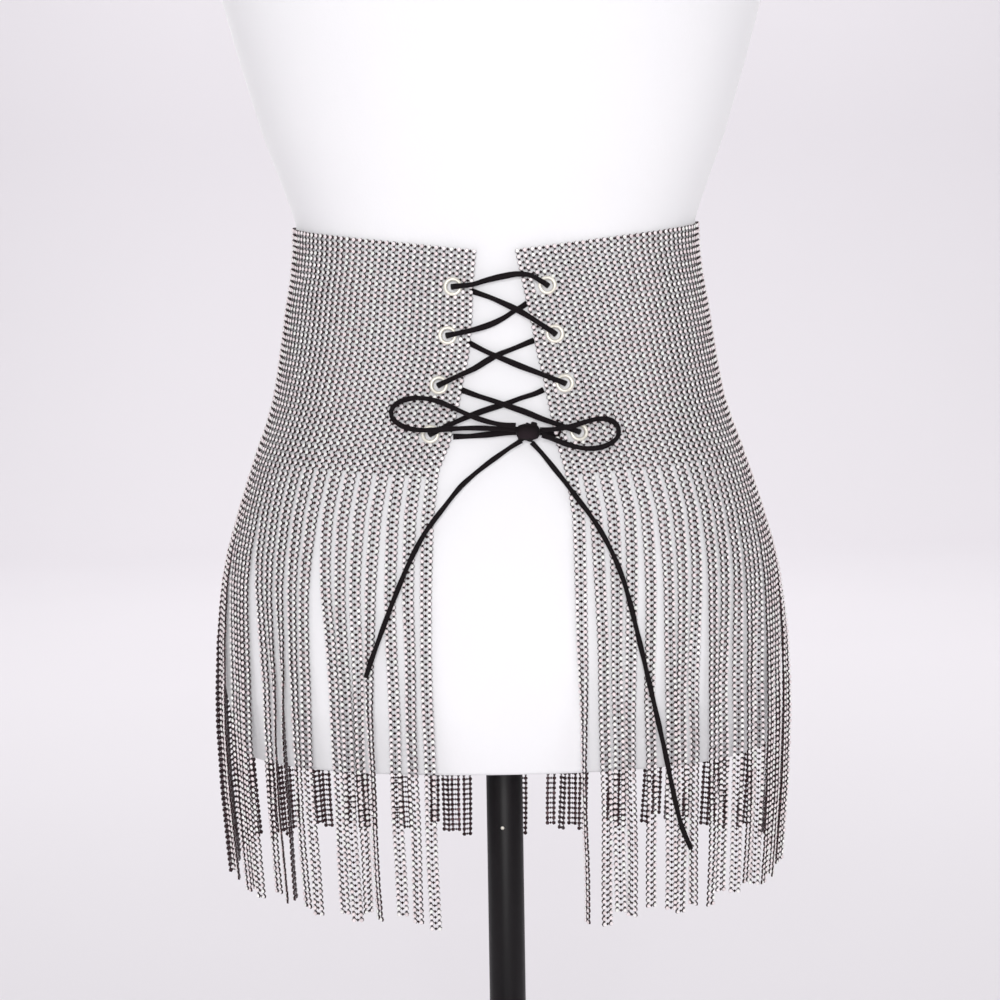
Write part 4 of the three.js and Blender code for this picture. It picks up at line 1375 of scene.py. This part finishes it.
WHITE, BLACK, WOVEN, CHAMPAGNE = white_jersey(), black_metal(), woven_black(), champagne_metal()
GLASS, CUP = cut_glass(), dark_cup()
paint(form, WHITE)
for piece in (pole, base):
    paint(piece, BLACK)
for piece in [*bow_cords.values(), *lacing, knot]:
    paint(piece, WOVEN)
for piece in [*eyelets, pin]:
    paint(piece, CHAMPAGNE)
for piece in [band_right, band_left, *fringe_parts.values()]:
    piece.data.materials[0] = GLASS
    piece.data.materials[1] = CUP
print("finishes:", len(bpy.data.materials))

# %% [markdown]
# ## The studio
#
# The belt is shown on a pale floor that curves up a few metres behind it, far enough for a look
# at the back. One soft lamp in front, two weak ones beside it and even white light from all round
# keep the form nearly white, and the dark sides of the cups then draw the pattern of the net.

# %% Floor, world and lamps
FLOOR_FRONT = -4.0
FLOOR_BACK = 4.6
FLOOR_HALF_WIDTH = 4.5
WALL_HEIGHT = 3.4
SWEEP_RADIUS = 1.0
SWEEP_STEPS = 16
BACKDROP_COLOUR = (0.82, 0.79, 0.825)
WORLD_COLOUR = (0.985, 0.965, 1.0)
WORLD_STRENGTH = 0.37
# The photograph is printed light in its middle tones.
VIEW_GAMMA = 1.14
# Place, aim, size in metres and power in watts.
LAMPS = {
    "lamp_front": ((-0.1, -3.0, 0.85), (0, 0, 0.45), 1.0, 47),
    "lamp_left": ((-2.0, -1.4, 1.3), (0, 0, 0.5), 1.2, 2),
    "lamp_right": ((2.0, -1.4, 1.3), (0, 0, 0.5), 1.2, 5),
    "lamp_backdrop": ((0, 2.2, 3.2), (0, 3.0, 0), 3.0, 82),
}


def add_backdrop():
    deselect_all()
    middle = (FLOOR_FRONT + FLOOR_BACK) / 2
    bpy.ops.mesh.primitive_plane_add(size=1, location=(0, middle, 0))
    backdrop = bpy.context.object
    backdrop.name = "backdrop"
    backdrop.scale = (2 * FLOOR_HALF_WIDTH, FLOOR_BACK - FLOOR_FRONT, 1)
    apply_place(backdrop)
    bpy.ops.object.mode_set(mode="EDIT")
    bpy.ops.mesh.select_mode(type="EDGE")
    mesh = bmesh.from_edit_mesh(backdrop.data)
    for edge in mesh.edges:
        edge.select_set(all(vertex.co.y > FLOOR_BACK - 0.01 for vertex in edge.verts))
    bmesh.update_edit_mesh(backdrop.data)
    bpy.ops.mesh.extrude_edges_move(TRANSFORM_OT_translate={"value": (0, 0, WALL_HEIGHT)})
    bpy.ops.mesh.select_all(action="SELECT")
    bpy.ops.mesh.normals_make_consistent(inside=True)
    bpy.ops.object.mode_set(mode="OBJECT")
    bevel_edges(backdrop, SWEEP_RADIUS / MM, SWEEP_STEPS, angle=60)
    return backdrop


def backdrop_paper():
    material, nodes, links, shader, place = new_material("backdrop_paper")
    soft = noise_on(nodes, links, place, 2, detail=1)
    light = tuple(min(1, channel * 1.01) for channel in BACKDROP_COLOUR)
    colour = ramp_on(nodes, links, soft, (0.3, BACKDROP_COLOUR), (0.7, light))
    links.new(colour, shader.inputs["Base Color"])
    set_inputs(shader, Roughness=0.9)
    return material


def add_lamp(name, place, aim, size, power):
    turn = (Vector(aim) - Vector(place)).to_track_quat("-Z", "Y").to_euler()
    bpy.ops.object.light_add(type="AREA", location=place, rotation=turn)
    lamp = bpy.context.object
    lamp.name = name
    lamp.data.size = size
    lamp.data.energy = power
    return lamp


def add_world():
    world = bpy.data.worlds.new("white_studio")
    bpy.context.scene.world = world
    world.use_nodes = True
    background = world.node_tree.nodes["Background"]
    background.inputs["Color"].default_value = (*WORLD_COLOUR, 1)
    background.inputs["Strength"].default_value = WORLD_STRENGTH


backdrop = add_backdrop()
paint(backdrop, backdrop_paper())
for name, (place, aim, size, power) in LAMPS.items():
    add_lamp(name, place, aim, size, power)
add_world()
bpy.context.scene.view_settings.view_transform = "Standard"
bpy.context.scene.view_settings.gamma = VIEW_GAMMA
print("lamps:", len(LAMPS))
